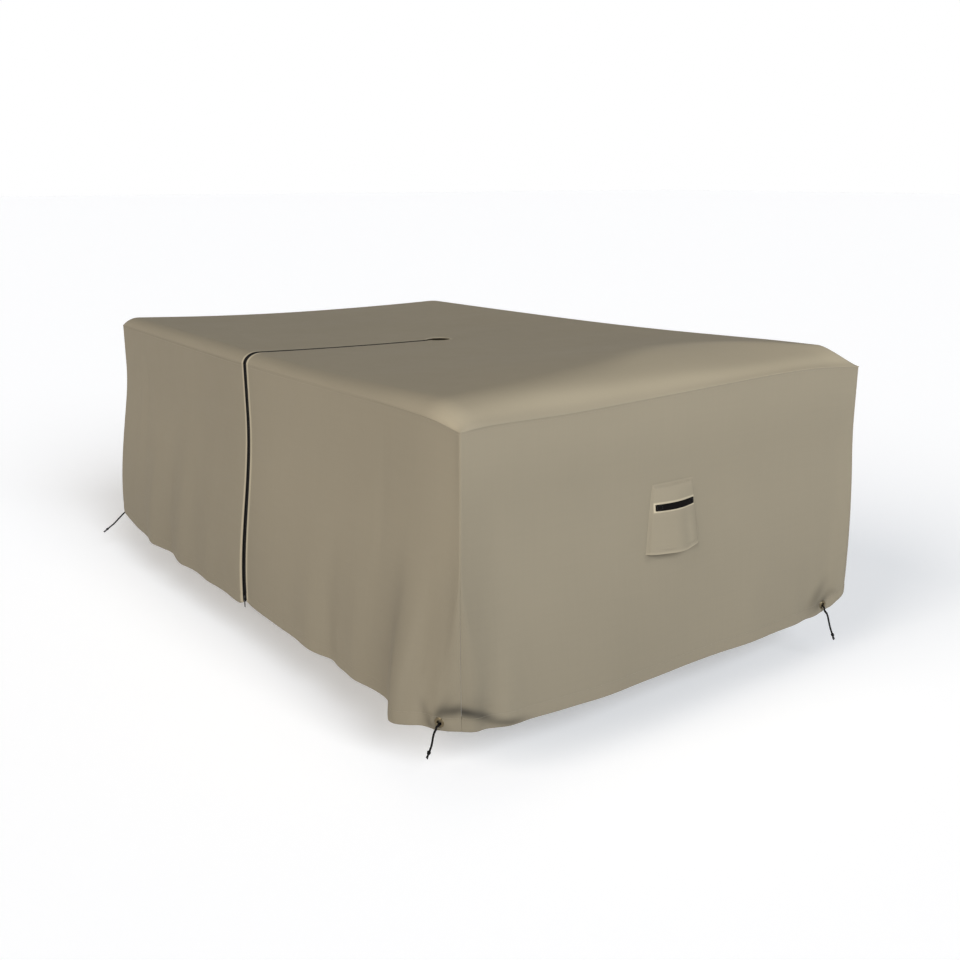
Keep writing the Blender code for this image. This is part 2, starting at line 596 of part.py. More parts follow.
def make_sides():
    half_slot = ZIP_SLOT / 2 / LENGTH
    across_folds = [between(first, last, step / spaces)
                    for first, last, spaces in FOLD_COLUMNS for step in range(1, spaces)]
    beside_zip = [0.5 + way * offset / LENGTH for way in (-1, 1) for offset in ZIP_COLUMNS]
    front_extra = across_folds + beside_zip + around_eyelet(SIDES["front"])
    panels = {
        "front": [side_panel("front_panel_left", "front", 0.0, 0.5 - half_slot, front_extra),
                  side_panel("front_panel_right", "front", 0.5 + half_slot, 1.0, front_extra)],
        "near_end": [side_panel("near_end_panel", "near_end", 0.0, 1.0,
                                around_eyelet(SIDES["near_end"]) + list(CORNER_COLUMNS))],
        "back": [side_panel("back_panel", "back", 0.0, 1.0, around_eyelet(SIDES["back"]))],
        "far_end": [side_panel("far_end_panel", "far_end", 0.0, 1.0, around_eyelet(SIDES["far_end"]))],
    }
    for corner, eyelet in EYELETS.items():
        middle, normal, _ = eyelet_frame(corner)
        reach = normal * 1.5 * CLOTH
        hole = round_cutter("eyelet_hole_" + corner, BARREL_RADIUS + EYELET_SEAT, middle - reach,
                            middle + reach, EYELET_SEGMENTS)
        cut_away(panels[eyelet.side][-1], [hole])
    x, y, _ = side_point("near_end", VENT_PLACE, (VENT_CUT_TOP + VENT_CUT_BOTTOM) / 2 / FALL)
    reach = 0.05
    cutter = box_cutter("vent_cut", (x - reach, y - VENT_CUT_WIDTH / 2, SEAM_LEVEL - VENT_CUT_BOTTOM),
                        (x + reach, y + VENT_CUT_WIDTH / 2, SEAM_LEVEL - VENT_CUT_TOP))
    cut_away(panels["near_end"][0], [cutter])


def front_strip(offsets, depth_top, depth_bottom):
    """Two grids of points for a strip along the zip: up the front, over the shoulder and to the hole."""
    places = [0.5 + offset / LENGTH for offset in offsets]
    height = side_height(SIDES["front"], 0.5)
    drops = [1 - above / height for above in (ZIP_END,) + LOWER_ROWS[::-1] + (ROW_ABOVE_HEM,)]
    drops += [(1 - ROW_ABOVE_HEM / height) * row / UPPER_ROWS for row in range(UPPER_ROWS - 1, 0, -1)]
    end = 0.5 - (UMBRELLA_FORWARD + UMBRELLA_RADIUS + ZIP_SHORT_OF_HOLE) / WIDTH
    over = [place for place in SHORT_PLACES if place < end - LEAST_SPACE] + [end]
    grids = []
    for depth in (depth_top, depth_bottom):
        rows = [[side_point("front", place, drop, depth) for place in places] for drop in drops]
        rows += [[top_point(place, place_y, depth) for place in places] for place_y in over]
        grids.append(rows)
    return grids


def make_zip():
    half = ZIP_CHAIN_WIDTH / 2
    chain = front_strip((-half, half), ZIP_CHAIN_SINK, ZIP_CHAIN_SINK + ZIP_CHAIN_DEPTH)
    sheet_object("zip_chain", *chain, "black_zip")
    edges = ZIP_TAPE_GAP / 2, ZIP_SLOT / 2, ZIP_TAPE_REACH
    for name, way in (("zip_tape_left", -1), ("zip_tape_right", 1)):
        offsets = [way * edge for edge in edges]
        tape = front_strip(offsets, ZIP_TAPE_SINK, ZIP_TAPE_SINK + ZIP_TAPE_THICKNESS)
        sheet_object(name, *tape, "black_zip")


def local_frame(middle, normal):
    """A frame with Z out of the cloth and Y up it."""
    side_way = Vector((0, 0, 1)).cross(normal).normalized()
    upward = normal.cross(side_way).normalized()
    turn = Matrix((side_way, upward, normal)).transposed().to_4x4()
    return Matrix.Translation(middle) @ turn


def rounded_plate(shape, low, high, bevel, place):
    """Adds a box with softened edges, in a frame's own axes."""
    made = bmesh.ops.create_cube(shape, size=1.0, matrix=place @ box_matrix(low, high))["verts"]
    if bevel:
        edges = list({edge for vert in made for edge in vert.link_edges})
        bmesh.ops.bevel(shape, geom=edges, offset=bevel, segments=2, affect="EDGES", profile=0.6)


def make_slider():
    """The slider stands over the closed chain at the hem, and its pull hangs from its bridge's lower foot."""
    low = point_above_hem("front", 0.5, SLIDER_HEIGHT - CLOTH)
    high = point_above_hem("front", 0.5, SLIDER_HEIGHT + CLOTH)
    normal = Vector((1, 0, 0)).cross(high - low).normalized()
    place = local_frame((low + high) / 2, normal)
    shape = bmesh.new()
    rounded_plate(shape, (-0.0050, -0.0075, 0.0006), (0.0050, 0.0075, 0.0024), 0.0006, place)
    body = add_object("zip_slider", mesh_from("zip_slider", shape), "dark_metal")
    pieces = {
        "bridge_foot_low": ((-0.0008, -0.0040, 0.0016), (0.0008, -0.0024, 0.0062)),
        "bridge_foot_high": ((-0.0008, 0.0030, 0.0016), (0.0008, 0.0046, 0.0062)),
        "bridge_bar": ((-0.0008, -0.0040, 0.0046), (0.0008, 0.0046, 0.0062)),
    }
    for name, (low_corner, high_corner) in pieces.items():
        shape = bmesh.new()
        rounded_plate(shape, low_corner, high_corner, 0.0, place)
        joined = add_object(name, mesh_from(name, shape), "dark_metal")
        joined.hide_render = True
        joined.display_type = "WIRE"
        join = body.modifiers.new("join " + name, "BOOLEAN")
        join.operation = "UNION"
        join.object = joined
    shape = bmesh.new()
    rounded_plate(shape, (-0.0030, -0.0300, 0.0028), (0.0030, -0.0006, 0.0041), 0.0004, place)
    pull = add_object("zip_pull", mesh_from("zip_pull", shape), "dark_metal")
    shape = bmesh.new()
    rounded_plate(shape, (-0.0014, -0.0054, 0.0), (0.0014, -0.0021, 0.0070), 0.0, place)
    cut_away(pull, [add_object("pull_eye", mesh_from("pull_eye", shape), "dark_metal")])


def vent_grid(lift):
    """The scoop's points, this far out from the end panel where it is sewn down."""
    rows = []
    for row in range(VENT_ROWS + 1):
        share = row / VENT_ROWS
        level = between(VENT_TOP, VENT_LIP, share)
        width = between(VENT_TOP_WIDTH, VENT_LIP_WIDTH, share)
        rows.append([scoop_point(level, (2 * column / VENT_COLUMNS - 1) * width / 2, lift)
                     for column in range(VENT_COLUMNS + 1)])
    return rows


def scoop_point(level, across, lift):
    side = SIDES["near_end"]
    share = (level - VENT_TOP) / (VENT_LIP - VENT_TOP)
    half = between(VENT_TOP_WIDTH, VENT_LIP_WIDTH, share) / 2
    place = VENT_PLACE + across / WIDTH
    drop = (along_seam(side, place, level_at) - SEAM_LEVEL + level) / side_height(side, place)
    point = side_point("near_end", place, drop)
    bulge = VENT_BULGE * max(share, 0.0) ** VENT_BULGE_POWER * math.cos(math.pi / 2 * across / half)
    return point + side.outward * (lift + max(bulge, 0.0))


def make_vent():
    sheet_object("vent_hood", vent_grid(VENT_STAND_OFF + CLOTH), vent_grid(VENT_STAND_OFF), "taupe")
    lift = VENT_STAND_OFF + CLOTH + HANDLE_STAND_OFF
    levels = [HANDLE_LEVEL + way * HANDLE_WIDTH / 2 for way in (-1, 0, 1)]
    across = [(2 * column / VENT_COLUMNS - 1) * HANDLE_LENGTH / 2 for column in range(VENT_COLUMNS + 1)]
    grids = [[[scoop_point(level, offset, lift + extra) for offset in across] for level in levels]
             for extra in (HANDLE_THICKNESS, 0.0)]
    sheet_object("handle_strap", *grids, "black_webbing")


def eyelet_frame(corner):
    """The eyelet's middle on the cloth's face, the way out of the cloth, and the way to the right."""
    side_name = EYELETS[corner].side
    side = SIDES[side_name]
    middle, slope_along, slope_up = EYELET_PLANES[side_name]
    place = side.along * middle.x + side.outward * middle.y + Vector((0, 0, middle.z))
    normal = side.outward - side.along * slope_along - Vector((0, 0, slope_up))
    return place, normal.normalized(), side.along


def turned_ring(name, profile, segments, place, finish):
    """A ring turned from a closed profile of (radius, height) about a frame's Z axis."""
    shape = bmesh.new()
    rings = []
    for step in range(segments):
        turn = place @ Matrix.Rotation(2 * math.pi * step / segments, 4, "Z")
        rings.append([shape.verts.new(turn @ Vector((radius, 0, height))) for radius, height in profile])
    for ring, following in zip(rings, rings[1:] + rings[:1]):
        for point in range(len(profile)):
            beside = (point + 1) % len(profile)
            shape.faces.new((ring[point], ring[beside], following[beside], following[point]))
    return add_object(name, mesh_from(name, shape), finish)


def eyelet_profile():
    """A rolled flange outside, a barrel through the cloth and a washer clenched inside the hem."""
    face = EYELET_SEAT + FLANGE_HEIGHT
    behind = -CLOTH - EYELET_SEAT
    roll = [(BORE_RADIUS, face - 0.0008), (BORE_RADIUS + 0.0008, face - 0.0001),
            (BORE_RADIUS + 0.0026, face), (FLANGE_RADIUS - 0.0022, face - 0.0005),
            (FLANGE_RADIUS, face - 0.0014), (FLANGE_RADIUS, EYELET_SEAT)]
    barrel = [(BARREL_RADIUS, EYELET_SEAT), (BARREL_RADIUS, behind)]
    washer = [(WASHER_RADIUS, behind), (WASHER_RADIUS, behind - WASHER_THICKNESS)]
    return [(BORE_RADIUS, behind - WASHER_THICKNESS)] + roll + barrel + washer


def route_points(corner):
    """The drawcord end's middle line, and the way from one strand to the other."""
    middle, normal, sideways = eyelet_frame(corner)
    side = SIDES[EYELETS[corner].side]
    points = []
    for index, point in enumerate(ROUTE_START + ROUTE_ENDS[corner]):
        outward = normal if index < NORMAL_POINTS else side.outward
        offset = outward * point.out + sideways * point.side - Vector((0, 0, point.down))
        points.append(middle + offset / 1000)
    return points, sideways


def smooth_route(points, count):
    """Points on a smooth curve through a route's own points."""
    lengths = [0.0]
    for start, end in zip(points, points[1:]):
        lengths.append(lengths[-1] + (end - start).length)
    axes = [[point[axis] for point in points] for axis in range(3)]
    steps = [lengths[-1] * (step / (count - 1)) ** CLOSER_EARLY for step in range(count)]
    return [Vector([curve_value(lengths, values, step) for values in axes]) for step in steps]


def strand_lines(corner):
    """The two strands' lines, side by side from the eyelet to the knot."""
    points, sideways = route_points(corner)
    route = smooth_route(points, STRAND_POINTS)
    lines = [[], []]
    for index, point in enumerate(route):
        onward = (route[min(index + 1, len(route) - 1)] - route[max(index - 1, 0)]).normalized()
        apart = (sideways - onward * sideways.dot(onward)).normalized() * STRAND_SPREAD
        lines[0].append(point - apart)
        lines[1].append(point + apart)
    return lines, route


def make_strand(name, line):
    curve = bpy.data.curves.new(name, "CURVE")
    curve.dimensions = "3D"
    curve.bevel_depth = STRAND_RADIUS
    curve.bevel_resolution = 2
    curve.use_fill_caps = True
    spline = curve.splines.new("POLY")
    spline.points.add(len(line) - 1)
    for target, point in zip(spline.points, line):
        target.co = (*point, 1.0)
    made = bpy.data.objects.new(name, curve)
    bpy.context.scene.collection.objects.link(made)
    curve.materials.append(material("cord"))


KnotRow = namedtuple("KnotRow", "place width thickness")
KNOT_ROWS = [KnotRow(0.00, 0.62, 0.40), KnotRow(0.12, 0.90, 0.74), KnotRow(0.32, 1.02, 1.00),
             KnotRow(0.50, 0.86, 0.90), KnotRow(0.68, 1.00, 1.02), KnotRow(0.88, 0.84, 0.72),
             KnotRow(1.00, 0.66, 0.44)]
TAIL_ROWS = [KnotRow(0.10, 0.62, 0.32), KnotRow(0.60, 0.70, 0.32), KnotRow(0.94, 0.76, 0.31),
             KnotRow(1.00, 0.66, 0.24)]
KNOT_SEGMENTS = 10


def make_knot(name, route, sideways):
    """The knot that ties both strands, with their short ends below it, as one lumped form along its axis."""
    axis = (route[-1] - route[-2]).normalized()
    start = route[-1] + axis * 2 * GAP
    across = (sideways - axis * sideways.dot(axis)).normalized()
    thick = axis.cross(across)
    stations = [(row.place * KNOT_LENGTH, row) for row in KNOT_ROWS]
    stations += [(KNOT_LENGTH + row.place * TAIL_LENGTH, row) for row in TAIL_ROWS]
    shape = bmesh.new()
    rings = []
    for distance, row in stations:
        middle = start + axis * distance
        ring = []
        for step in range(KNOT_SEGMENTS):
            angle = 2 * math.pi * step / KNOT_SEGMENTS
            wide = across * math.cos(angle) * row.width + thick * math.sin(angle) * row.thickness
            ring.append(shape.verts.new(middle + wide * KNOT_RADIUS))
        rings.append(ring)
    for ring, following in zip(rings, rings[1:]):
        for step in range(KNOT_SEGMENTS):
            beside = (step + 1) % KNOT_SEGMENTS
            shape.faces.new((ring[step], ring[beside], following[beside], following[step]))
    shape.faces.new(rings[0])
    shape.faces.new(rings[-1])
    add_object(name, mesh_from(name, shape), "cord")


def make_eyelets():
    for corner in EYELETS:
        middle, normal, sideways = eyelet_frame(corner)
        place = local_frame(middle, normal)
        turned_ring("eyelet_" + corner, eyelet_profile(), EYELET_SEGMENTS, place, "brass")
        lines, route = strand_lines(corner)
        for letter, line in zip("ab", lines):
            make_strand(f"drawcord_{corner}_{letter}", line)
        make_knot("knot_" + corner, route, sideways)


def main():
    clear_scene()
    make_top()
    make_sides()
    make_zip()
    make_slider()
    make_vent()
    make_eyelets()


main()
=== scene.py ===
"""Looks for the fitted outdoor cover: draped cloth panels, zip, vent, brass eyelets and knotted drawcords.

Metres, in the part's own frame: X runs along the length towards the vented end, Y across it towards the
back, Z up, with the origin under the middle of the top. Each side runs from its left corner (place 0) to
its right corner (place 1), seen from outside, and falls from the seam (drop 0) to the hem (drop 1). The
tables of sizes repeat those of the part's source, so that each piece lies where its solid does.
"""

import math
from collections import namedtuple

import bpy
import numpy as np
from mathutils import Matrix, Vector


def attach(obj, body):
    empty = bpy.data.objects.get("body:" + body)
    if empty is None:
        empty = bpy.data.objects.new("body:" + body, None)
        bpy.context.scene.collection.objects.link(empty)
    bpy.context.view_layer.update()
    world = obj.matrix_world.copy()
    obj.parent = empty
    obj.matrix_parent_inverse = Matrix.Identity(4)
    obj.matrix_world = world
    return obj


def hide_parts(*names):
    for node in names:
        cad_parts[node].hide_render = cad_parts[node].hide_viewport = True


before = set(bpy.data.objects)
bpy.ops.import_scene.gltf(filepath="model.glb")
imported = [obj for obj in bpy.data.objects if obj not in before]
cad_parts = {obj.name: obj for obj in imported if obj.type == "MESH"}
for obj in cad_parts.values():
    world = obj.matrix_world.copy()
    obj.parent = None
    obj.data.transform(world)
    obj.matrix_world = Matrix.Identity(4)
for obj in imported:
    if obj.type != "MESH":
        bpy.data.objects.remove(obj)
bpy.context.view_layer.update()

# The camera at the photo's viewing angle
CAMERA_PLACE = (3.073, -2.042, 0.523)
VIEW_DIRECTION = (-0.7856, 0.5604, -0.2622)
LENS = 42.11

# Driving dimensions, as in the part's source
LENGTH = 2.215
WIDTH = 1.387
FALL = 0.711
CLOTH = 0.002

TopRow = namedtuple("TopRow", "place front middle back")
TOP_ROWS = [
    TopRow(0.00, 0.034, 0.005, 0.012),
    TopRow(0.25, 0.036, 0.012, 0.019),
    TopRow(0.50, 0.036, 0.020, 0.029),
    TopRow(0.70, 0.036, 0.042, 0.042),
    TopRow(0.87, 0.045, 0.074, 0.056),
    TopRow(1.00, 0.051, 0.084, 0.065),
]
MIDDLE_RISE = 0.020
SEAM_LEVEL = CLOTH - MIDDLE_RISE
SHOULDER, ROUNDNESS = 0.050, 2.0
Shoulder = namedtuple("Shoulder", "place width roundness")
NEAR_SHOULDER = [Shoulder(0.00, 0.130, 1.60), Shoulder(0.25, 0.165, 1.42), Shoulder(0.55, 0.230, 1.30),
                 Shoulder(0.78, 0.270, 1.25), Shoulder(0.89, 0.190, 1.20), Shoulder(0.96, 0.115, 1.15),
                 Shoulder(1.00, 0.113, 1.15)]
LEVEL_CORNER = 0.004
UMBRELLA_RADIUS = 0.038
UMBRELLA_FORWARD = 0.018

Lift = namedtuple("Lift", "place lift")
SEAM_LIFTS = {
    "front": [Lift(0.00, 0.000), Lift(0.50, 0.002), Lift(0.74, 0.009), Lift(0.86, 0.013), Lift(0.95, 0.010),
              Lift(1.00, 0.000)],
    "near_end": [Lift(0.00, 0.000), Lift(0.06, 0.005), Lift(0.22, 0.005), Lift(0.40, 0.012),
                 Lift(0.60, 0.021), Lift(0.76, 0.027), Lift(0.88, 0.025), Lift(1.00, 0.012)],
    "back": [Lift(0.00, 0.012), Lift(0.12, 0.018), Lift(0.40, 0.010), Lift(1.00, 0.002)],
    "far_end": [Lift(0.00, 0.002), Lift(0.50, -0.002), Lift(1.00, 0.000)],
}

Corner = namedtuple("Corner", "x_side y_side flare_x flare_y radius sag")
CORNERS = {
    "near_front": Corner(1, -1, 0.018, 0.020, 0.085, 0.013),
    "near_back": Corner(1, 1, 0.020, 0.026, 0.045, -0.034),
    "far_back": Corner(-1, 1, 0.036, 0.036, 0.060, -0.002),
    "far_front": Corner(-1, -1, 0.046, 0.054, 0.060, 0.000),
}

Hang = namedtuple("Hang", "place flare sag")
Fold = namedtuple("Fold", "place before after height start")
Side = namedtuple("Side", "left right along outward length reach bow hangs folds")
SIDES = {
    "front": Side(
        "far_front", "near_front", Vector((1, 0, 0)), Vector((0, -1, 0)), LENGTH, WIDTH / 2, 0.007,
        [Hang(0.030, 0.056, 0.012), Hang(0.095, 0.062, 0.028), Hang(0.280, 0.060, 0.037),
         Hang(0.440, 0.052, 0.038), Hang(0.484, 0.049, 0.044), Hang(0.500, 0.040, 0.032),
         Hang(0.520, 0.041, 0.035), Hang(0.560, 0.042, 0.036),
         Hang(0.730, 0.038, 0.036), Hang(0.860, 0.032, 0.032), Hang(0.890, 0.032, 0.034),
         Hang(0.912, 0.034, 0.044), Hang(0.955, 0.032, 0.025)],
        [Fold(0.170, 0.055, 0.050, 0.013, 0.25), Fold(0.232, 0.045, 0.045, -0.009, 0.30),
         Fold(0.290, 0.060, 0.050, 0.010, 0.20), Fold(0.385, 0.060, 0.060, 0.007, 0.35),
         Fold(0.690, 0.060, 0.050, 0.006, 0.35), Fold(0.738, 0.040, 0.040, -0.011, 0.45),
         Fold(0.806, 0.050, 0.045, 0.008, 0.40), Fold(0.858, 0.050, 0.045, -0.004, 0.40),
         Fold(0.914, 0.048, 0.085, 0.043, 0.30), Fold(0.952, 0.026, 0.022, -0.004, 0.30),
         Fold(0.976, 0.024, 0.020, 0.003, 0.20)],
    ),
    "near_end": Side(
        "near_front", "near_back", Vector((0, 1, 0)), Vector((1, 0, 0)), WIDTH, LENGTH / 2, 0.004,
        [Hang(0.072, 0.024, 0.015), Hang(0.200, 0.033, 0.020), Hang(0.375, 0.029, 0.022),
         Hang(0.577, 0.018, 0.022), Hang(0.780, 0.013, 0.021), Hang(0.900, 0.008, 0.017),
         Hang(0.945, 0.006, 0.003)],
        [Fold(0.040, 0.020, 0.024, -0.009, 0.70), Fold(0.085, 0.024, 0.050, 0.007, 0.55),
         Fold(0.310, 0.090, 0.100, 0.005, 0.50), Fold(0.690, 0.100, 0.080, 0.004, 0.50),
         Fold(0.875, 0.035, 0.030, -0.006, 0.68), Fold(0.955, 0.025, 0.020, 0.004, 0.60)],
    ),
    "back": Side(
        "near_back", "far_back", Vector((-1, 0, 0)), Vector((0, 1, 0)), LENGTH, WIDTH / 2, 0.006,
        [Hang(0.050, 0.018, 0.010), Hang(0.200, 0.034, 0.030), Hang(0.500, 0.044, 0.036),
         Hang(0.800, 0.050, 0.034), Hang(0.950, 0.038, 0.014)],
        [Fold(0.090, 0.050, 0.060, 0.018, 0.25), Fold(0.160, 0.045, 0.050, -0.008, 0.35),
         Fold(0.330, 0.070, 0.060, 0.009, 0.35), Fold(0.470, 0.060, 0.060, -0.007, 0.40),
         Fold(0.620, 0.060, 0.070, 0.010, 0.30), Fold(0.850, 0.060, 0.055, 0.014, 0.25),
         Fold(0.925, 0.040, 0.035, -0.007, 0.35)],
    ),
    "far_end": Side(
        "far_back", "far_front", Vector((0, -1, 0)), Vector((-1, 0, 0)), WIDTH, LENGTH / 2, 0.004,
        [Hang(0.080, 0.030, 0.012), Hang(0.300, 0.036, 0.024), Hang(0.600, 0.034, 0.024),
         Hang(0.920, 0.040, 0.014)],
        [Fold(0.130, 0.050, 0.050, 0.014, 0.25), Fold(0.420, 0.080, 0.070, 0.007, 0.40),
         Fold(0.860, 0.050, 0.045, 0.012, 0.30)],
    ),
}
FLARE_START, FLARE_RANGE = 0.20, 0.75
FOLD_FREE = 0.045
SEAM_RADIUS = 0.004
ROUND_START = 0.40
CORNER_SHARE = 1 - math.sqrt(0.5)  # how far short of its sharp corner a panel ends, in radii

HEM_HEIGHT = 0.040
CHANNEL = 0.0039
HEM_BEND = CHANNEL / 2 + CLOTH

ZIP_SLOT = 0.018
ZIP_TAPE_GAP = 0.0004
ZIP_TAPE_REACH, ZIP_TAPE_SINK, ZIP_TAPE_THICKNESS = 0.017, 0.0027, 0.0010
ZIP_CROWN_SINK = 0.0009  # of the tape's face under the teeth, where it comes up between the cloth's edges
ZIP_CROWN_REACH, ZIP_CROWN_FADE = 0.0062, 0.0024
TAPE_COLUMNS = (ZIP_TAPE_GAP / 2, 0.003, 0.0055, 0.0065, 0.0075, 0.009, 0.013, ZIP_TAPE_REACH)
ZIP_LENGTH = 1.395
ZIP_END = 0.007

VENT_PLACE = 0.472
VENT_TOP, VENT_LIP = 0.211, 0.388
VENT_TOP_WIDTH, VENT_LIP_WIDTH = 0.149, 0.194
VENT_BULGE, VENT_BULGE_POWER = 0.030, 0.7
VENT_CUT_TOP, VENT_CUT_BOTTOM, VENT_CUT_WIDTH = 0.300, 0.358, 0.090
VENT_STAND_OFF, VENT_SEWN_LIFT = 0.0008, 0.0005  # of the hood over the panel, and of its sewn edges' face
HANDLE_LEVEL, HANDLE_LENGTH, HANDLE_WIDTH, HANDLE_THICKNESS = 0.270, 0.135, 0.016, 0.002

Eyelet = namedtuple("Eyelet", "side from_right height")
EYELETS = {
    "near_front": Eyelet("front", 0.043, 0.0225),
    "near_back": Eyelet("near_end", 0.096, 0.0240),
    "far_back": Eyelet("back", 0.070, 0.0230),
    "far_front": Eyelet("far_end", 0.050, 0.0225),
}
EYELET_FLAT, EYELET_FADE = 0.021, 0.012
SLOPE_REACH = 0.012  # how far from an eyelet's middle the slopes of its flat are taken
BORE_RADIUS, BARREL_RADIUS = 0.0060, 0.0070
FLANGE_RADIUS, FLANGE_HEIGHT = 0.0130, 0.0020
EYELET_SEAT, EYELET_DENT = 0.00045, 0.00006
WASHER_RADIUS, WASHER_THICKNESS = 0.0100, 0.0007

STRAND_RADIUS = 0.0015
STRAND_SPREAD = 0.00170
RoutePoint = namedtuple("RoutePoint", "out side down")
ROUTE_START = [RoutePoint(-4.2, 0, 3.4), RoutePoint(0.0, 0, 3.4), RoutePoint(3.4, 0, 3.6),
               RoutePoint(6.8, 0, 5.8), RoutePoint(8.8, 0, 10.0), RoutePoint(9.6, 0, 15.5)]
NORMAL_POINTS = 4
ROUTE_ENDS = {
    "near_front": [RoutePoint(9.9, -3.5, 20.5), RoutePoint(10.3, -8.0, 29), RoutePoint(10.8, -11.5, 40),
                   RoutePoint(11.4, -14.0, 53), RoutePoint(12.4, -17.5, 67), RoutePoint(14.2, -22.5, 81)],
    "near_back": [RoutePoint(10.0, 4.5, 20.5), RoutePoint(10.4, 12.0, 29), RoutePoint(11.2, 18.5, 44),
                  RoutePoint(12.2, 24.0, 61), RoutePoint(13.6, 30.5, 79), RoutePoint(15.5, 37.5, 96)],
    "far_back": [RoutePoint(10.2, -0.2, 23), RoutePoint(11.0, -1.0, 34), RoutePoint(12.0, -2.4, 45),
                 RoutePoint(13.4, -4.2, 56), RoutePoint(14.8, -6.6, 67), RoutePoint(16.2, -9.2, 77)],
    "far_front": [RoutePoint(10.6, 3.5, 20), RoutePoint(14.5, 24.0, 27), RoutePoint(20.0, 47.0, 40),
                  RoutePoint(27.0, 68.0, 60), RoutePoint(36.0, 89.0, 83), RoutePoint(46.0, 110.0, 102)],
}
STRAND_POINTS = 40
KNOT_RADIUS, KNOT_LENGTH = 0.0046, 0.0095
KNOT_YARN, KNOT_TURNS = 0.38, 2.5  # the yarn's radius as a share of the knot's, and how often it goes round
CROSSING_TOP, CROSSING_BOTTOM = 0.85, 0.10  # of the turn that crosses the knot, as shares of its length
CROSSING_OUT, CROSSING_LIFT = 0.9, 0.35  # of the same turn, as shares of the coil's radius
TAIL_SPREAD, TAIL_FRAY, FRAY_START = 0.25, 0.22, 0.85
TAIL_WAVE, TAIL_WAVE_RATE = 0.0004, 260.0
CORD_SEGMENTS = 8
TAIL_LENGTH = 0.013

# Low relief that only the looks carry. Centre along the side from its left corner and down from the seam,
# half length, half width and height in metres, and how far the crease leans from upright, in degrees.
Crease = namedtuple("Crease", "side along down half_length half_width height lean")
CREASES = [
    Crease("near_end", 0.055, 0.655, 0.050, 0.012, -0.0030, 62),
    Crease("near_end", 0.085, 0.690, 0.060, 0.010, 0.0024, 74),
    Crease("near_end", 0.120, 0.640, 0.060, 0.016, -0.0016, 50),
    Crease("near_end", 1.255, 0.690, 0.060, 0.012, -0.0032, -58),
    Crease("near_end", 1.215, 0.705, 0.055, 0.012, 0.0026, -76),
    Crease("near_end", 1.230, 0.640, 0.070, 0.018, -0.0018, -30),
    Crease("near_end", 1.345, 0.670, 0.050, 0.010, 0.0020, 20),
    Crease("front", 2.105, 0.640, 0.090, 0.012, 0.0026, -14),
    Crease("front", 2.075, 0.600, 0.110, 0.014, -0.0024, -8),
    Crease("front", 2.140, 0.690, 0.040, 0.010, -0.0020, -55),
    Crease("front", 0.180, 0.300, 0.220, 0.026, 0.0022, 4),
    Crease("front", 0.250, 0.330, 0.240, 0.022, -0.0020, 2),
    Crease("front", 1.880, 0.330, 0.230, 0.026, -0.0020, -3),
    Crease("back", 2.110, 0.680, 0.060, 0.012, -0.0026, -50),
    Crease("back", 2.060, 0.640, 0.080, 0.014, 0.0022, -24),
    Crease("back", 0.380, 0.350, 0.240, 0.026, 0.0022, 3),
    Crease("back", 1.450, 0.330, 0.230, 0.028, -0.0022, -3),
    Crease("far_end", 1.300, 0.680, 0.060, 0.012, -0.0026, -50),
    Crease("far_end", 1.250, 0.630, 0.080, 0.014, 0.0020, -20),
    Crease("far_end", 0.420, 0.340, 0.230, 0.026, -0.0018, 2),
]
# Soft unevenness of hanging cloth: waves along and down in radians a metre, phase, and height in metres
Ripple = namedtuple("Ripple", "along down phase height")
RIPPLES = [Ripple(13.0, 1.6, 0.4, 0.0007), Ripple(21.0, -2.3, 1.9, 0.0005), Ripple(34.0, 4.1, 3.1, 0.0003),
           Ripple(7.0, 8.5, 5.2, 0.0005)]
TOP_WAVES = (0.7, 1.7, 1.4)  # the top's ripples against the sides': waves along, waves across and height
RELIEF_FADE = 0.060  # the low relief dies out this near a seam

# Painted light along the near end's shoulder, where the light falls on its slope: how much, all over it and
# along its crest, and between which shares of the shoulder's width it fades out, from the shoulder's left
# corner to its right
PaintedLight = namedtuple("PaintedLight", "place pale crest starts ends")
PAINTED_SHOULDER_LIGHT = [PaintedLight(0.00, 0.29, 0.06, 0.55, 1.20), PaintedLight(0.20, 0.23, 0.25, 0.45, 0.95),
               PaintedLight(0.38, 0.33, 0.20, 0.45, 1.20), PaintedLight(0.58, 0.40, 0.26, 0.95, 1.50),
               PaintedLight(0.81, 0.49, 0.25, 0.90, 1.60), PaintedLight(1.00, 0.48, 0.25, 0.90, 1.60)]
# Where the painted highlight along the shoulder's crest lies in from the end, and how wide it is
CREST_LIGHT_INSET, CREST_LIGHT_WIDTH = 0.036, 0.034
# Painted shade in the creases and dimples by the eyelets: centre along the side and above the hem, half
# length, half width, how much darker, and the lean from upright in degrees
ShadeSpot = namedtuple("ShadeSpot", "side along above half_length half_width dark lean")
SHADE_SPOTS = [ShadeSpot(*row) for row in (
    ("near_end", 0.000, 0.054, 0.034, 0.013, 0.56, 76), ("near_end", 0.052, 0.036, 0.030, 0.012, 0.42, 66),
    ("near_end", 0.112, 0.012, 0.050, 0.011, 0.44, 82), ("near_end", 0.030, 0.062, 0.036, 0.030, 0.10, 60),
    ("front", 2.203, 0.056, 0.036, 0.014, 0.52, -70), ("front", 2.170, 0.046, 0.040, 0.012, 0.26, -30),
    ("front", 2.130, 0.036, 0.034, 0.012, 0.22, 20), ("front", 2.160, 0.012, 0.030, 0.010, 0.22, 85),
    ("near_end", 1.258, 0.064, 0.044, 0.018, 0.24, -40), ("near_end", 1.286, 0.036, 0.032, 0.013, 0.36, -62),
    ("near_end", 1.268, 0.046, 0.056, 0.034, 0.13, -50), ("near_end", 1.330, 0.044, 0.022, 0.008, 0.12, 50),
    ("back", 2.120, 0.040, 0.036, 0.010, 0.30, -55), ("far_end", 1.310, 0.040, 0.036, 0.010, 0.30, -55),
)]
PALE_EDGE, PALE_ON_TOP, PALE_WIDTH, PALE_FADE = 0.62, 0.22, 0.0105, 0.0040  # along the zip's slot
PALE_WELT = 0.05  # over the whole of the welt
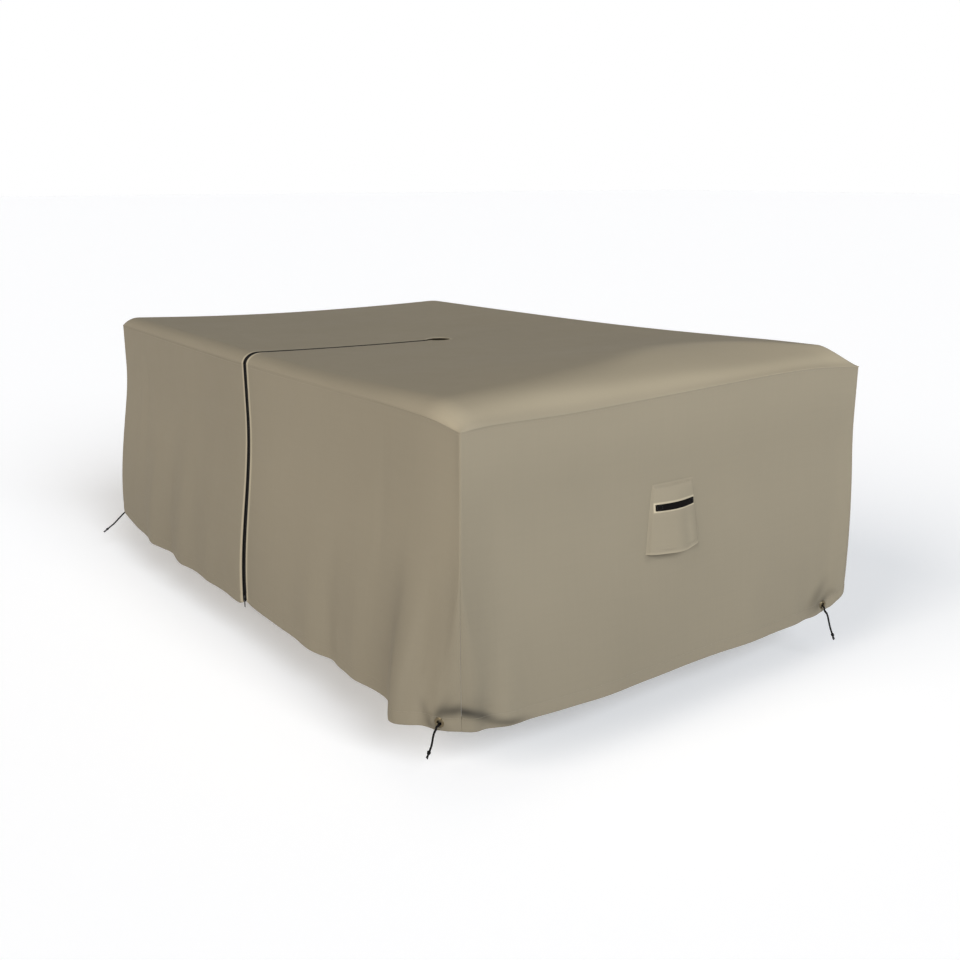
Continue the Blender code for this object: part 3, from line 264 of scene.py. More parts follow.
SLOT_SHADOW_WIDTH, SLOT_SHADOW_ON_TOP, SLOT_SHADOW_FADE = 0.0016, 0.0040, 0.0014  # of the painted shade line along the slot's edge
SLOT_SHADE, CORNER_GLOW = -0.78, 0.12  # painted shade on the cloth's edges inside the slot, and painted light where two sides meet

# Fineness of the meshes
CELL, TOP_CELL = 0.0090, 0.0105
FINE_CELL = 0.0030
FINE_BY_EYELET, FINE_BY_HOLE, FINE_BY_HEM = 0.018, 0.054, 0.060  # how far the fine cells reach
# Columns this far from a side's ends and from the zip's slot
COLUMNS_BY_END = (0.0, 0.002, 0.005, 0.009, 0.014, 0.020)
COLUMNS_BY_ZIP = (0.0017, 0.0034, 0.0075, 0.0115, 0.0145, 0.018, 0.023)
TOP_COLUMNS_BY_ZIP = (0.0024, 0.0040, 0.0055, 0.0075, 0.0115, 0.0145, 0.018)
ROWS_BY_SEAM = (0.0, 0.003, 0.007)
ROWS_BY_HEM = np.arange(0.057, 0.006, -FINE_CELL)  # above the hem's edge, on the face
ROWS_BEHIND = np.arange(0.008, HEM_HEIGHT + 0.001, 0.004)  # above the hem's edge, on its allowance
BY_STRAP = (0.0, 0.0015, 0.003, 0.0045, 0.006)  # lines of the hood's mesh outside the strap's edges
# Two lines of a mesh that are nearer than this become one
CLOSEST = {"columns": 0.0016, "rows": 0.0020, "top_x": 0.0014, "top_y": 0.0022, "hood": 0.0012}
NEARLY = 1e-4  # how near two places are that count as one
BARREL_ROOM = 0.0022  # between an eyelet's barrel and the middle of the nearest cell that stays
FIRST_TURN = 2.0  # of a shoulder's mesh, in degrees
TURN_STEPS, NEAR_STEPS = 14, 26  # across the shoulders
HEM_STEPS = 8  # round the hem's bend
RIM_ANGLES = (45, 90, 135)  # of the rings round a raw edge, from its outer skin to its inner one
EYELET_SEGMENTS = 48
EDGE_SHAPE = 0.25  # of a raw edge: 0 is square, 1 is half a circle
SEAM_DRAWN = 0.00013  # how far the corner seams' stitches draw each side's edge toward the next

# Sewing
STITCH_PITCH, STITCH_LENGTH, STITCH_RADIUS = 0.0045, 0.0034, 0.00034
HEM_STITCH = 0.036  # above the hem's edge
HEM_GROOVE, HEM_GROOVE_WIDTH = 0.0006, 0.0016
CHANNEL_PROUD, CHANNEL_MIDDLE, CHANNEL_WIDTH = 0.0008, 0.018, 0.014  # of the drawcord's channel on the face
PUCKER, PUCKER_PITCH, PUCKER_MIDDLE, PUCKER_WIDTH = 0.00030, 0.023, 0.032, 0.009  # along the hem's stitches
PRESSED, TAPE_CLEARANCE, TAPE_CLEARANCE_FADE = 0.0003, 0.002, 0.03  # of the hem's allowance behind the face
SEAM_STITCH = 0.006  # from a seam to its topstitching
WELT_PROUD, WELT_WIDTH, WELT_FADE = 0.0009, 0.013, 0.004  # beside the zip's slot and round the hole
LOWER_ON_TOP = 0.6  # the share of the welt's height that is lost on the top
FOLLOWS = 0.6  # how much of the outer skin's low relief the inner skin follows
ZIP_STITCHES = (0.0035, 0.0115)  # from the slot's edge
ZIP_STITCH_GROOVE, ZIP_STITCH_WIDTH = 0.0004, 0.0012
VENT_STITCH, VENT_GROOVE, VENT_GROOVE_WIDTH = 0.006, 0.0005, 0.0014
VENT_HEM, VENT_HEM_RISE, VENT_HEM_FADE, VENT_HEM_THICK = 0.010, 0.0007, 0.003, 0.0006
VENT_WAVE, VENT_WAVE_RATE, VENT_WAVE_PHASE, VENT_WAVE_FADE = 0.0012, 7.0, 1.2, 0.03
VENT_FREE = 0.012  # how far in from its sewn edges the hood is free
STRAP_STITCHES, STRAP_MARGIN = (0.004, 0.018), 0.002
STRAP_SEAT, STRAP_RIB, STRAP_CROWN = 0.0006, 0.00015, 0.0006  # over the hood, of its weave and its middle
TOOTH_PITCH, TOOTH_WIDTH, TOOTH_REACH, TOOTH_HOOK, TOOTH_RISE = 0.0030, 0.0013, 0.0030, 0.0007, 0.0008

# Broad shading of the cloth, paler above 0 and darker below, as products of shapes. Each shape runs over one
# measure, in metres or a share: it starts, or has its top, at the first number and spans the second.
WASHES = {
    "every side": [
        (0.030, ("hill", "height", 0.0, 0.006)),
        (-0.020, ("hill", "from_end", 0.0, 0.006)),
        (-0.020, ("hill", "height", HEM_STITCH, 0.0022)),
        (-0.10, ("grows", "drop", 0.35, 0.65)),
    ],
    "front": [
        (-0.10, ("fades", "place", 0.42, 0.20)),
        (-0.08, ("hill", "from_right", 0.21, 0.07), ("grows", "down", 0.30, 0.20)),
        (-0.06, ("hill", "from_right", 0.012, 0.010), ("fades", "down", 0.05, 0.25)),
        (0.07, ("fades", "from_right", 0.06, 0.16), ("fades", "down", 0.12, 0.38)),
        (-0.09, ("fades", "from_right", 0.02, 0.06), ("grows", "down", 0.20, 0.20)),
    ],
    "near_end": [
        (-0.17, ("hill", "down", 0.0, 0.0022), ("grows", "along", 0.0, 0.04)),
        (0.075, ("fades", "down", 0.02, 0.16)),
        (-0.12, ("fades", "along", 0.02, 0.11), ("grows", "down", 0.06, 0.35)),
        (-0.20, ("grows", "below_lip", -0.010, 0.010), ("fades", "below_lip", 0.008, 0.020),
         ("fades", "beside_lip", -0.006, 0.012)),
    ],
    "back": [],
    "far_end": [],
    "top": [
        (0.30, ("hill", "from_hole", 0.0, 0.008)),
        (-0.20, ("hill", "inset", 0.0, 0.016)),
        (-0.05, ("hill", "inset", 0.0, 0.0016)),
        (0.12, ("slopes", "place_x", 0.45, 1.0), ("fades", "place_y", 0.40, 0.40)),
        (0.13, ("grows", "place_x", 0.80, 0.14), ("fades", "from_front", 0.0, 0.075)),
    ],
    "hood": [
        (0.08, ("fades", "level", HANDLE_LEVEL, 0.03)),
        (0.13, ("hill", "cross", 0.52, 0.20), ("grows", "share", 0.30, 0.40)),
        (0.20, ("hill", "from_lip", 0.0, 0.004)),
        (0.85, ("fades", "from_strap", 0.0034, 0.0020)),
    ],
}
HOOD_TONE = 0.02  # all over the hood

FLOOR_LEVEL = -0.905
FLOOR_SIZE = 160.0
SUN_SPREAD = 34.0  # how wide the studio's lights are, in degrees
Sun = namedtuple("Sun", "name source strength colour")
SUNS = [Sun("key_end", (0.86, -0.10, 0.49), 3.17, (0.89, 0.935, 1.0)),
        Sun("key_front", (0.10, -0.86, 0.49), 1.85, (1.0, 0.935, 0.865))]
SKY = [(0.16, 1.0), (0.36, 0.10)]  # how bright the surroundings are, at and between these heights


def smooth_step(value):
    clipped = np.clip(value, 0.0, 1.0)
    return clipped * clipped * (3 - 2 * clipped)


def between(start, end, share):
    return start + (end - start) * share


def grows(value, start, over):
    """From 0 to 1 while the value goes up from its start, over this much."""
    return smooth_step((value - start) / over)


def fades(value, start, over):
    return 1 - grows(value, start, over)


def hill(value, top, width):
    return np.exp(-(((value - top) / width) ** 2))


def slopes(value, start, over):
    return (value - start) / over


SHAPES = {"grows": grows, "fades": fades, "hill": hill, "slopes": slopes}


def washed(name, measures):
    """The sum of the washes of this name, where the measures are these."""
    total = 0.0
    for tone, *shapes in WASHES[name]:
        for kind, measure, start, over in shapes:
            tone = tone * SHAPES[kind](measures[measure], start, over)
        total = total + tone
    return total


def leaning_hill(shape, x, y):
    """A long hill that leans from upright, this far to the right of its middle and below it."""
    turn = math.radians(shape.lean)
    across = x * math.cos(turn) - y * math.sin(turn)
    onward = x * math.sin(turn) + y * math.cos(turn)
    return np.exp(-((across / shape.half_width) ** 2) - (onward / shape.half_length) ** 2)


def unit(vectors):
    return vectors / np.maximum(np.linalg.norm(vectors, axis=-1, keepdims=True), 1e-12)


def run_along(line):
    """How far along a line each of its points lies."""
    return np.concatenate([[0.0], np.cumsum(np.linalg.norm(np.diff(line, axis=0), axis=1))])


def points_at(at, run, line):
    return np.stack([np.interp(at, run, line[:, axis]) for axis in range(3)], axis=-1)


def from_ends(place, length):
    return np.minimum(place, 1 - place) * length


def from_slot(place):
    """How far a place along the front lies from the nearer edge of the zip's slot."""
    return abs(place - 0.5) * LENGTH - ZIP_SLOT / 2


def beside_slot(distances):
    return [0.5 + way * (ZIP_SLOT / 2 + distance) / LENGTH for way in (-1, 1) for distance in distances]


def curve_value(places, values, at):
    """A smooth curve through the values, with each tangent taken from its two neighbours."""
    places, values = np.asarray(places, float), np.asarray(values, float)
    last = len(places) - 1
    index = np.clip(np.searchsorted(places, at, side="right") - 1, 0, last - 1)
    known = np.arange(last + 1)
    before, after = np.maximum(known - 1, 0), np.minimum(known + 1, last)
    slopes = (values[after] - values[before]) / (places[after] - places[before])
    span = places[index + 1] - places[index]
    share = (at - places[index]) / span
    square, cube = share**2, share**3
    return (
        values[index] * (2 * cube - 3 * square + 1)
        + slopes[index] * span * (cube - 2 * square + share)
        + values[index + 1] * (3 * square - 2 * cube)
        + slopes[index + 1] * span * (cube - square)
    )


def row_curve(rows, column, at):
    """A smooth curve through one column of a table."""
    return curve_value([row.place for row in rows], [getattr(row, column) for row in rows], at)


def seam_lift(side_name, place, length):
    level = LEVEL_CORNER / length
    place = np.clip((place - level) / (1 - 2 * level), 0.0, 1.0)
    return row_curve(SEAM_LIFTS[side_name], "lift", place)


def seam_level(place_x, place_y):
    front, back = seam_lift("front", place_x, LENGTH), seam_lift("back", 1 - place_x, LENGTH)
    near, far = seam_lift("near_end", place_y, WIDTH), seam_lift("far_end", 1 - place_y, WIDTH)
    near_front, near_back = SEAM_LIFTS["near_end"][0].lift, SEAM_LIFTS["near_end"][-1].lift
    far_back, far_front = SEAM_LIFTS["far_end"][0].lift, SEAM_LIFTS["far_end"][-1].lift
    corners = between(between(far_front, far_back, place_y), between(near_front, near_back, place_y), place_x)
    return SEAM_LEVEL + between(front, back, place_y) + between(far, near, place_x) - corners


def level_at(side, place):
    left, right = CORNERS[side.left], CORNERS[side.right]
    place_x = between((left.x_side + 1) / 2, (right.x_side + 1) / 2, place)
    place_y = between((left.y_side + 1) / 2, (right.y_side + 1) / 2, place)
    return seam_level(place_x, place_y)


def corner_flare(corner, direction):
    return Vector((corner.x_side * corner.flare_x, corner.y_side * corner.flare_y, 0)).dot(direction)


def hem_measure(side, place, column):
    left, right = CORNERS[side.left], CORNERS[side.right]
    first = Hang(0, corner_flare(left, side.outward), left.sag)
    last = Hang(1, corner_flare(right, side.outward), right.sag)
    return row_curve([first] + side.hangs + [last], column, place)


def side_height(side, place):
    return level_at(side, place) - (SEAM_LEVEL - FALL - hem_measure(side, place, "sag"))


def fold_relief(side, place, drop):
    relief = 0.0
    for fold in side.folds:
        offset = (place - fold.place) * side.length
        width = np.where(offset < 0, fold.before, fold.after)
        relief = relief + fold.height * grows(drop, fold.start, 1 - fold.start) * hill(offset, 0.0, width)
    return relief * grows(from_ends(place, side.length), 0.0, FOLD_FREE)


def corner_radius(corner, drop):
    return between(SEAM_RADIUS, corner.radius, grows(drop, ROUND_START, 1 - ROUND_START))


def rippled(along, down, waves=(1.0, 1.0, 1.0)):
    """Soft unevenness this far along and down, with the ripples' numbers times these."""
    more_along, more_down, higher = waves
    relief = 0.0
    for ripple in RIPPLES:
        turn = more_along * ripple.along * along + more_down * ripple.down * down + ripple.phase
        relief = relief + higher * ripple.height * np.sin(turn)
    return relief


def low_relief(name, place, drop):
    """Creases and soft unevenness, which die out near the seams."""
    side = SIDES[name]
    along, down = place * side.length, drop * FALL
    relief = rippled(along, down)
    for crease in CREASES:
        if crease.side == name:
            relief = relief + crease.height * leaning_hill(crease, along - crease.along, down - crease.down)
    relief = relief * grows(np.minimum(from_ends(place, side.length), down), 0.0, RELIEF_FADE)
    if name == "front":
        relief = relief * grows(abs(place - 0.5) * side.length, WELT_WIDTH, RELIEF_FADE)
    return relief


def free_point(side, place, drop):
    """(along, out, up) of a side's face as the folds alone would have it, and the sine of its turn."""
    corners = CORNERS[side.left], CORNERS[side.right]
    stand = grows(drop, FLARE_START, FLARE_RANGE)
    left = corner_flare(corners[0], side.along) * stand - side.length / 2
    right = corner_flare(corners[1], side.along) * stand + side.length / 2
    radii = [corner_radius(corner, drop) for corner in corners]
    along = between(left + radii[0] * CORNER_SHARE, right - radii[1] * CORNER_SHARE, place)
    turns = [np.maximum(0.0, 1 - (along - left) / radii[0]), np.maximum(0.0, 1 - (right - along) / radii[1])]
    rounding = sum(radius * (1 - np.sqrt(1 - turn**2)) for radius, turn in zip(radii, turns))
    seam_cut = SEAM_RADIUS * CORNER_SHARE / side.length
    at_seam = between(seam_cut, 1 - seam_cut, place)
    out = side.reach + side.bow * np.sin(math.pi * at_seam) * (1 - drop) - rounding
    out = out + hem_measure(side, place, "flare") * stand + fold_relief(side, place, drop)
    up = level_at(side, at_seam) - drop * side_height(side, place)
    return (along, out, up), turns[1] - turns[0]


def eyelet_of(side):
    return next(eyelet for eyelet in EYELETS.values() if SIDES[eyelet.side] is side)


def eyelet_plane(side):
    """The middle of a side's eyelet as (along, out, up), and the slopes of its flat, along and up."""
    eyelet = eyelet_of(side)
    place = 1 - eyelet.from_right / side.length
    drop = 1 - eyelet.height / side_height(side, place)

    def free(place_step, drop_step):
        return Vector(free_point(side, place + place_step / side.length, drop + drop_step / FALL)[0])

    across = free(SLOPE_REACH, 0) - free(-SLOPE_REACH, 0)
    downward = free(0, 0) - free(0, -SLOPE_REACH)
    turn = across.x * downward.z - across.z * downward.x
    slope_along = (across.y * downward.z - across.z * downward.y) / turn
    slope_up = (across.x * downward.y - across.y * downward.x) / turn
    return free(0, 0), slope_along, slope_up


EYELET_PLANES = {name: eyelet_plane(side) for name, side in SIDES.items()}


def to_row_frame(side, along, out, up):
    axes = [np.array(side.along), np.array(side.outward), np.array((0.0, 0.0, 1.0))]
    return along[..., None] * axes[0] + out[..., None] * axes[1] + up[..., None] * axes[2]


def side_point(name, place, drop, depth=0.0):
    """Points of a side's outer face, or this deep behind it."""
    side = SIDES[name]
    place, drop, depth = np.broadcast_arrays(*(np.asarray(value, float) for value in (place, drop, depth)))
    (along, out, up), turn = free_point(side, place, drop)
    out = out + low_relief(name, place, drop)
    middle, slope_along, slope_up = EYELET_PLANES[name]
    away = np.hypot(along - middle.x, up - middle.z)
    flat = middle.y + slope_along * (along - middle.x) + slope_up * (up - middle.z)
    out = between(flat, out, grows(away, EYELET_FLAT, EYELET_FADE))
    along = along - depth * turn
    out = out - depth * np.sqrt(1 - turn**2)
    return to_row_frame(side, along, out, up)


def shoulder(inset, width, roundness):
    """The share of its height a shoulder has risen this far in, and its slope there as a top and a bottom."""
    left = np.clip(1 - inset / width, 0.0, 1.0)
    rise = (1 - left**roundness) ** (1 / roundness)
    return rise, left ** (roundness - 1) / width, rise ** (roundness - 1)


def top_point(place_x, place_y, depth=0.0):
    """Points of the top's outer face, or this deep under it."""
    place_x, place_y, depth = np.broadcast_arrays(
        *(np.asarray(value, float) for value in (place_x, place_y, depth)))
    front, back, near_end = SIDES["front"], SIDES["back"], SIDES["near_end"]
    half_x = LENGTH / 2 + near_end.bow * np.sin(math.pi * place_y)
    half_y = WIDTH / 2 + np.where(place_y < 0.5, front.bow, back.bow) * np.sin(math.pi * place_x)
    x, y = (2 * place_x - 1) * half_x, (2 * place_y - 1) * half_y
    width, roundness = (np.where(place_x < 0.5, elsewhere, row_curve(NEAR_SHOULDER, column, place_y))
                        for column, elsewhere in (("width", SHOULDER), ("roundness", ROUNDNESS)))
    rise_x, slope_x, scale_x = shoulder(from_ends(place_x, LENGTH), width, roundness)
    rise_y, slope_y, scale_y = shoulder(from_ends(place_y, WIDTH), SHOULDER, ROUNDNESS)
    at_front, at_middle, at_back = (
        row_curve(TOP_ROWS, column, place_x) for column in ("front", "middle", "back"))
    across = 2 * place_y - 1
    rise = at_middle + across * (at_back - at_front) / 2 + across**2 * ((at_back + at_front) / 2 - at_middle)
    level = seam_level(place_x, place_y)
    height = SEAM_LEVEL + rise - level
    into = unit(np.stack([
        -np.sign(x) * height * slope_x * rise_y * scale_y,
        -np.sign(y) * height * slope_y * rise_x * scale_x,
        -scale_x * scale_y,
    ], axis=-1))
    return np.stack([x, y, level + height * rise_x * rise_y], axis=-1) + into * depth[..., None]


def steps(start, end, cell):
    """Values from start to end about this far apart."""
    return np.linspace(start, end, max(2, int(math.ceil((end - start) / cell)) + 1))


def merged(*groups, least):
    """One rising list of all the groups' values. Where two are too close, the earlier group's stays."""
    kept = []
    for group in groups:
        for value in group:
            if all(abs(value - other) > least for other in kept):
                kept.append(float(value))
    return np.array(sorted(kept))


def placed(name, data):
    made = bpy.data.objects.new(name, data)
    bpy.context.scene.collection.objects.link(made)
    return made


def add_mesh(name, points, faces, finish, coordinates=None, tones=None):
    mesh = bpy.data.meshes.new(name)
    mesh.from_pydata([tuple(point) for point in points], [], [tuple(face) for face in faces])
    mesh.validate()
    if coordinates is not None:
        corner_points = np.empty(len(mesh.loops), np.int32)
        mesh.loops.foreach_get("vertex_index", corner_points)
        layer = mesh.uv_layers.new(name="cloth")
        layer.data.foreach_set("uv", coordinates.astype(np.float32)[corner_points].ravel())
    tones = np.zeros(len(points)) if tones is None else tones
    mesh.attributes.new("tone", "FLOAT", "POINT").data.foreach_set("value", tones.astype(np.float32).ravel())
    mesh.shade_smooth()
    mesh.materials.append(finish)
    return placed(name, mesh)


def grid_faces(rows, columns, keep=None):
    index = np.arange(rows * columns).reshape(rows, columns)
    quads = np.stack([index[:-1, :-1], index[1:, :-1], index[1:, 1:], index[:-1, 1:]], axis=-1).reshape(-1, 4)
    return quads if keep is None else quads[keep.reshape(-1)]


def ring_faces(rings, segments, closed=False):
    """Faces between rings of points that follow each other, the last joined to the first if closed."""
    faces = []
    for ring in range(rings if closed else rings - 1):
        start, following = ring * segments, (ring + 1) % rings * segments
        for step in range(segments):
            beside = (step + 1) % segments
            faces.append((start + step, start + beside, following + beside, following + step))
    return faces


def closed_cloth(name, outer, inner, faces, finish, coordinates, tones, edge_tones=None):
    """A closed sheet of cloth between two skins of like points, with softened raw edges.

    The tones make the cloth paler or darker, and the edge tones are added on its raw edges alone.
    """
    edge_tones = np.zeros(tones.shape) if edge_tones is None else edge_tones
    used, faces = np.unique(faces, return_inverse=True)
    faces = faces.reshape(-1, 4)
    outer, inner, coordinates, tones, edge_tones = (
        values.reshape(-1, width)[used]
        for values, width in ((outer, 3), (inner, 3), (coordinates, 2), (tones, 1), (edge_tones, 1)))
    count = len(outer)
    edges = np.concatenate([faces[:, [corner, (corner + 1) % 4]] for corner in range(4)])
    keys = edges.min(axis=1) * count + edges.max(axis=1)
    _, first, times = np.unique(keys, return_index=True, return_counts=True)
    rim = edges[first[times == 1]]
    thickness = np.linalg.norm(outer - inner, axis=1, keepdims=True)
    normal = unit(outer - inner)
    direction = unit(outer[rim[:, 1]] - outer[rim[:, 0]])
    away = np.zeros_like(outer)
    for end in (0, 1):
        np.add.at(away, rim[:, end], np.cross(direction, normal[rim[:, end]]))
    away = unit(away)
    on_rim = np.unique(rim)
    ring_of = np.full(count, -1)
    ring_of[on_rim] = np.arange(len(on_rim))
    rings = []
    for angle in RIM_ANGLES:
        turn = math.radians(angle)
        reach = math.sin(turn) ** EDGE_SHAPE
        sink = 1 - math.copysign(abs(math.cos(turn)) ** EDGE_SHAPE, math.cos(turn))
        rings.append(outer[on_rim] + thickness[on_rim] / 2 * (away[on_rim] * reach - normal[on_rim] * sink))
    chain = [np.arange(count)]
    chain += [2 * count + step * len(on_rim) + ring_of for step in range(len(rings))]
    chain += [np.arange(count) + count]
    parts = [faces, faces[:, ::-1] + count]
    right, left = rim[:, 0], rim[:, 1]
    for above, below in zip(chain, chain[1:]):
        parts.append(np.stack([above[left], above[right], below[right], below[left]], axis=-1))
    points = np.concatenate([outer, inner] + rings)
    around = np.concatenate([coordinates, coordinates] + [coordinates[on_rim]] * len(rings))
    shades = np.concatenate([tones, tones] + [(tones + edge_tones)[on_rim]] * len(rings))
    return add_mesh(name, points, np.concatenate(parts), finish, around, shades)


# Materials


def new_material(name, base, roughness, metallic=0.0, sheen=0.0, specular=0.5):
    made = bpy.data.materials.new(name)
    made.use_nodes = True
    shader = made.node_tree.nodes["Principled BSDF"]
    shader.inputs["Base Color"].default_value = (*base, 1.0)
    shader.inputs["Roughness"].default_value = roughness
    shader.inputs["Metallic"].default_value = metallic
    shader.inputs["Specular IOR Level"].default_value = specular
    if sheen:
        shader.inputs["Sheen Weight"].default_value = sheen
        shader.inputs["Sheen Roughness"].default_value = 0.5
        shader.inputs["Sheen Tint"].default_value = (*base, 1.0)
    return made, made.node_tree, shader


def math_node(tree, operation, first, second):
    node = tree.nodes.new("ShaderNodeMath")
    node.operation = operation
    for socket, value in zip(node.inputs, (first, second)):
        if isinstance(value, bpy.types.NodeSocket):
            tree.links.new(value, socket)
        else:
            socket.default_value = value
    return node.outputs[0]


def noise_node(tree, vector, scale, detail, stretch=None):
    if stretch:
        mapping = tree.nodes.new("ShaderNodeMapping")
        mapping.inputs["Scale"].default_value = stretch
        tree.links.new(vector, mapping.inputs["Vector"])
        vector = mapping.outputs["Vector"]
    node = tree.nodes.new("ShaderNodeTexNoise")
    node.inputs["Scale"].default_value = scale
    node.inputs["Detail"].default_value = detail
    tree.links.new(vector, node.inputs["Vector"])
    return node.outputs["Fac"]


def wave_node(tree, vector, scale, direction):
    node = tree.nodes.new("ShaderNodeTexWave")
    node.wave_type = "BANDS"
    node.bands_direction = direction
    node.inputs["Scale"].default_value = scale
    tree.links.new(vector, node.inputs["Vector"])
    return node.outputs["Fac"]


def weighted(tree, start, *terms):
    """A start, with each value added to it as many times as its weight says."""
    (first, weight), *others = terms
    total = math_node(tree, "MULTIPLY_ADD", first, weight)
    total.node.inputs[2].default_value = start
    for value, weight in others:
        total = math_node(tree, "ADD", total, math_node(tree, "MULTIPLY", value, weight))
    return total


def tinted(tree, shader, base, factor):
    """Base colour times a factor that varies over the surface."""
    mix = tree.nodes.new("ShaderNodeVectorMath")
    mix.operation = "SCALE"
    mix.inputs[0].default_value = base
    tree.links.new(factor, mix.inputs["Scale"])
    tree.links.new(mix.outputs["Vector"], shader.inputs["Base Color"])


def roughened(tree, shader, start, *terms):
    tree.links.new(weighted(tree, start, *terms), shader.inputs["Roughness"])


def bumped(tree, shader, height, strength, distance):
    node = tree.nodes.new("ShaderNodeBump")
    node.inputs["Strength"].default_value = strength
    node.inputs["Distance"].default_value = distance
    tree.links.new(height, node.inputs["Height"])
    tree.links.new(node.outputs["Normal"], shader.inputs["Normal"])


def object_place(tree):
    return tree.nodes.new("ShaderNodeTexCoord").outputs["Object"]


def cloth_place(tree):
    uv = tree.nodes.new("ShaderNodeUVMap")
    uv.uv_map = "cloth"
    return uv.outputs["UV"]


def cloth_material(name, base):
    """Coated polyester: a fine plain weave, uneven yarns, a faint sheen and cloudy tone."""
    made, tree, shader = new_material(name, base, roughness=0.80, sheen=0.12, specular=0.30)
    place = cloth_place(tree)
    warp, weft = (wave_node(tree, place, 160.0, direction) for direction in "XY")
    weave = math_node(tree, "MULTIPLY", warp, weft)
    slub_x, slub_y = (noise_node(tree, place, scale=90.0, detail=4.0, stretch=stretch)
                      for stretch in ((1.0, 0.06, 1.0), (0.06, 1.0, 1.0)))
    slub = math_node(tree, "ADD", slub_x, slub_y)
    clouds = noise_node(tree, place, scale=2.4, detail=2.0)
    blotches = noise_node(tree, place, scale=14.0, detail=4.0)
    own_tone = tree.nodes.new("ShaderNodeAttribute")
    own_tone.attribute_name = "tone"
    tone = weighted(tree, 0.905, (clouds, 0.07), (blotches, 0.025), (slub, 0.035), (weave, 0.04))
    tinted(tree, shader, base, math_node(tree, "ADD", tone, own_tone.outputs["Fac"]))
    roughened(tree, shader, 0.70, (blotches, 0.16))
    height = math_node(tree, "ADD", weave, math_node(tree, "MULTIPLY", slub, 0.5))
    bumped(tree, shader, height, strength=0.22, distance=0.0003)
    return made


def woven_black(name, base, roughness, scale, strength):
    """Black webbing or tape in a ribbed weave."""
    made, tree, shader = new_material(name, base, roughness, specular=0.06)
    place = cloth_place(tree)
    ribs = wave_node(tree, place, scale, "X")
    across = wave_node(tree, place, scale * 0.7, "DIAGONAL")
    weave = math_node(tree, "MULTIPLY", ribs, across)
    lint = noise_node(tree, place, scale=220.0, detail=5.0)
    tinted(tree, shader, base, weighted(tree, 0.55, (weave, 0.70), (lint, 0.5)))
    bumped(tree, shader, weave, strength, distance=0.0004)
    return made


def grained_material(name, base, roughness, scale, detail, tone, bump, rough=None, **look):
    """A plain material with a fine grain. Tone and rough give a start and how much grain is added."""
    made, tree, shader = new_material(name, base, roughness, **look)
    grain = noise_node(tree, object_place(tree), scale, detail)
    tinted(tree, shader, base, weighted(tree, tone[0], (grain, tone[1])))
    if rough:
        roughened(tree, shader, rough[0], (grain, rough[1]))
    bumped(tree, shader, grain, *bump)
    return made


def brass_material(name, base):
    """Tarnished brass with fine scratches."""
    made, tree, shader = new_material(name, base, roughness=0.24, metallic=1.0)
    place = object_place(tree)
    tarnish = noise_node(tree, place, scale=180.0, detail=4.0)
    scratches = noise_node(tree, place, scale=900.0, detail=3.0, stretch=(1.0, 0.2, 1.0))
    tinted(tree, shader, base, weighted(tree, 0.72, (tarnish, 0.55)))
    roughened(tree, shader, 0.18, (scratches, 0.22))
    bumped(tree, shader, scratches, strength=0.08, distance=0.0002)
    return made


def cord_material(name, base):
    """A round braided cord: two sets of slanting yarns."""
    made, tree, shader = new_material(name, base, roughness=0.80, sheen=0.02, specular=0.10)
    place = object_place(tree)
    one = wave_node(tree, place, 420.0, "DIAGONAL")
    other = wave_node(tree, place, 520.0, "Z")
    braid = math_node(tree, "MULTIPLY", one, other)
    fluff = noise_node(tree, place, scale=1500.0, detail=3.0)
    tinted(tree, shader, base, weighted(tree, 0.5, (braid, 1.1), (fluff, 0.5)))
    bumped(tree, shader, braid, strength=0.5, distance=0.0004)
    return made


CLOTH_FINISH = cloth_material("cover_cloth", (0.2010, 0.1725, 0.1205))
WEBBING_FINISH = woven_black("webbing", (0.0042, 0.0032, 0.0030), 0.90, scale=260.0, strength=0.45)
TAPE_FINISH = woven_black("zip_tape", (0.0040, 0.0036, 0.0034), 0.85, scale=420.0, strength=0.30)
COIL_FINISH = grained_material(
    "zip_coil", (0.0050, 0.0046, 0.0044), 0.50, scale=700.0, detail=3.0, tone=(0.6, 0.8),
    bump=(0.10, 0.0001), specular=0.22)
BRASS_FINISH = brass_material("eyelet_brass", (0.150, 0.120, 0.072))
SLIDER_FINISH = grained_material(
    "slider_metal", (0.020, 0.019, 0.018), 0.36, scale=400.0, detail=4.0, tone=(0.6, 0.9),
    bump=(0.10, 0.0002), rough=(0.26, 0.24), metallic=1.0)
CORD_FINISH = cord_material("drawcord", (0.0050, 0.0046, 0.0046))
THREAD_FINISH = grained_material(
    "thread", (0.230, 0.200, 0.146), 0.62, scale=1200.0, detail=3.0, tone=(0.75, 0.5),
    bump=(0.2, 0.0002), sheen=0.2, specular=0.4)
BLACK_THREAD_FINISH = grained_material(
    "black_thread", (0.035, 0.035, 0.037), 0.55, scale=1200.0, detail=3.0, tone=(0.6, 0.8),
    bump=(0.2, 0.0002), sheen=0.2)


# Camera and cords come first


def aim(made, direction):
    made.rotation_mode = "QUATERNION"
    made.rotation_quaternion = Vector(direction).to_track_quat("-Z", "Y")


def add_camera():
    camera = placed("camera", bpy.data.cameras.new("camera"))
    camera.data.sensor_width = 36.0
    camera.data.lens = LENS
    camera.data.clip_start, camera.data.clip_end = 0.05, 200.0
    camera.location = CAMERA_PLACE
    aim(camera, VIEW_DIRECTION)
    bpy.context.scene.camera = camera


def eyelet_frame(side_name):
    """The middle of a side's eyelet on the cloth's face, the way out of the cloth, and the way right."""
    side = SIDES[side_name]
    middle, slope_along, slope_up = EYELET_PLANES[side_name]
    place = side.along * middle.x + side.outward * middle.y + Vector((0, 0, middle.z))
    normal = side.outward - side.along * slope_along - Vector((0, 0, slope_up))
    return place, normal.normalized(), side.along


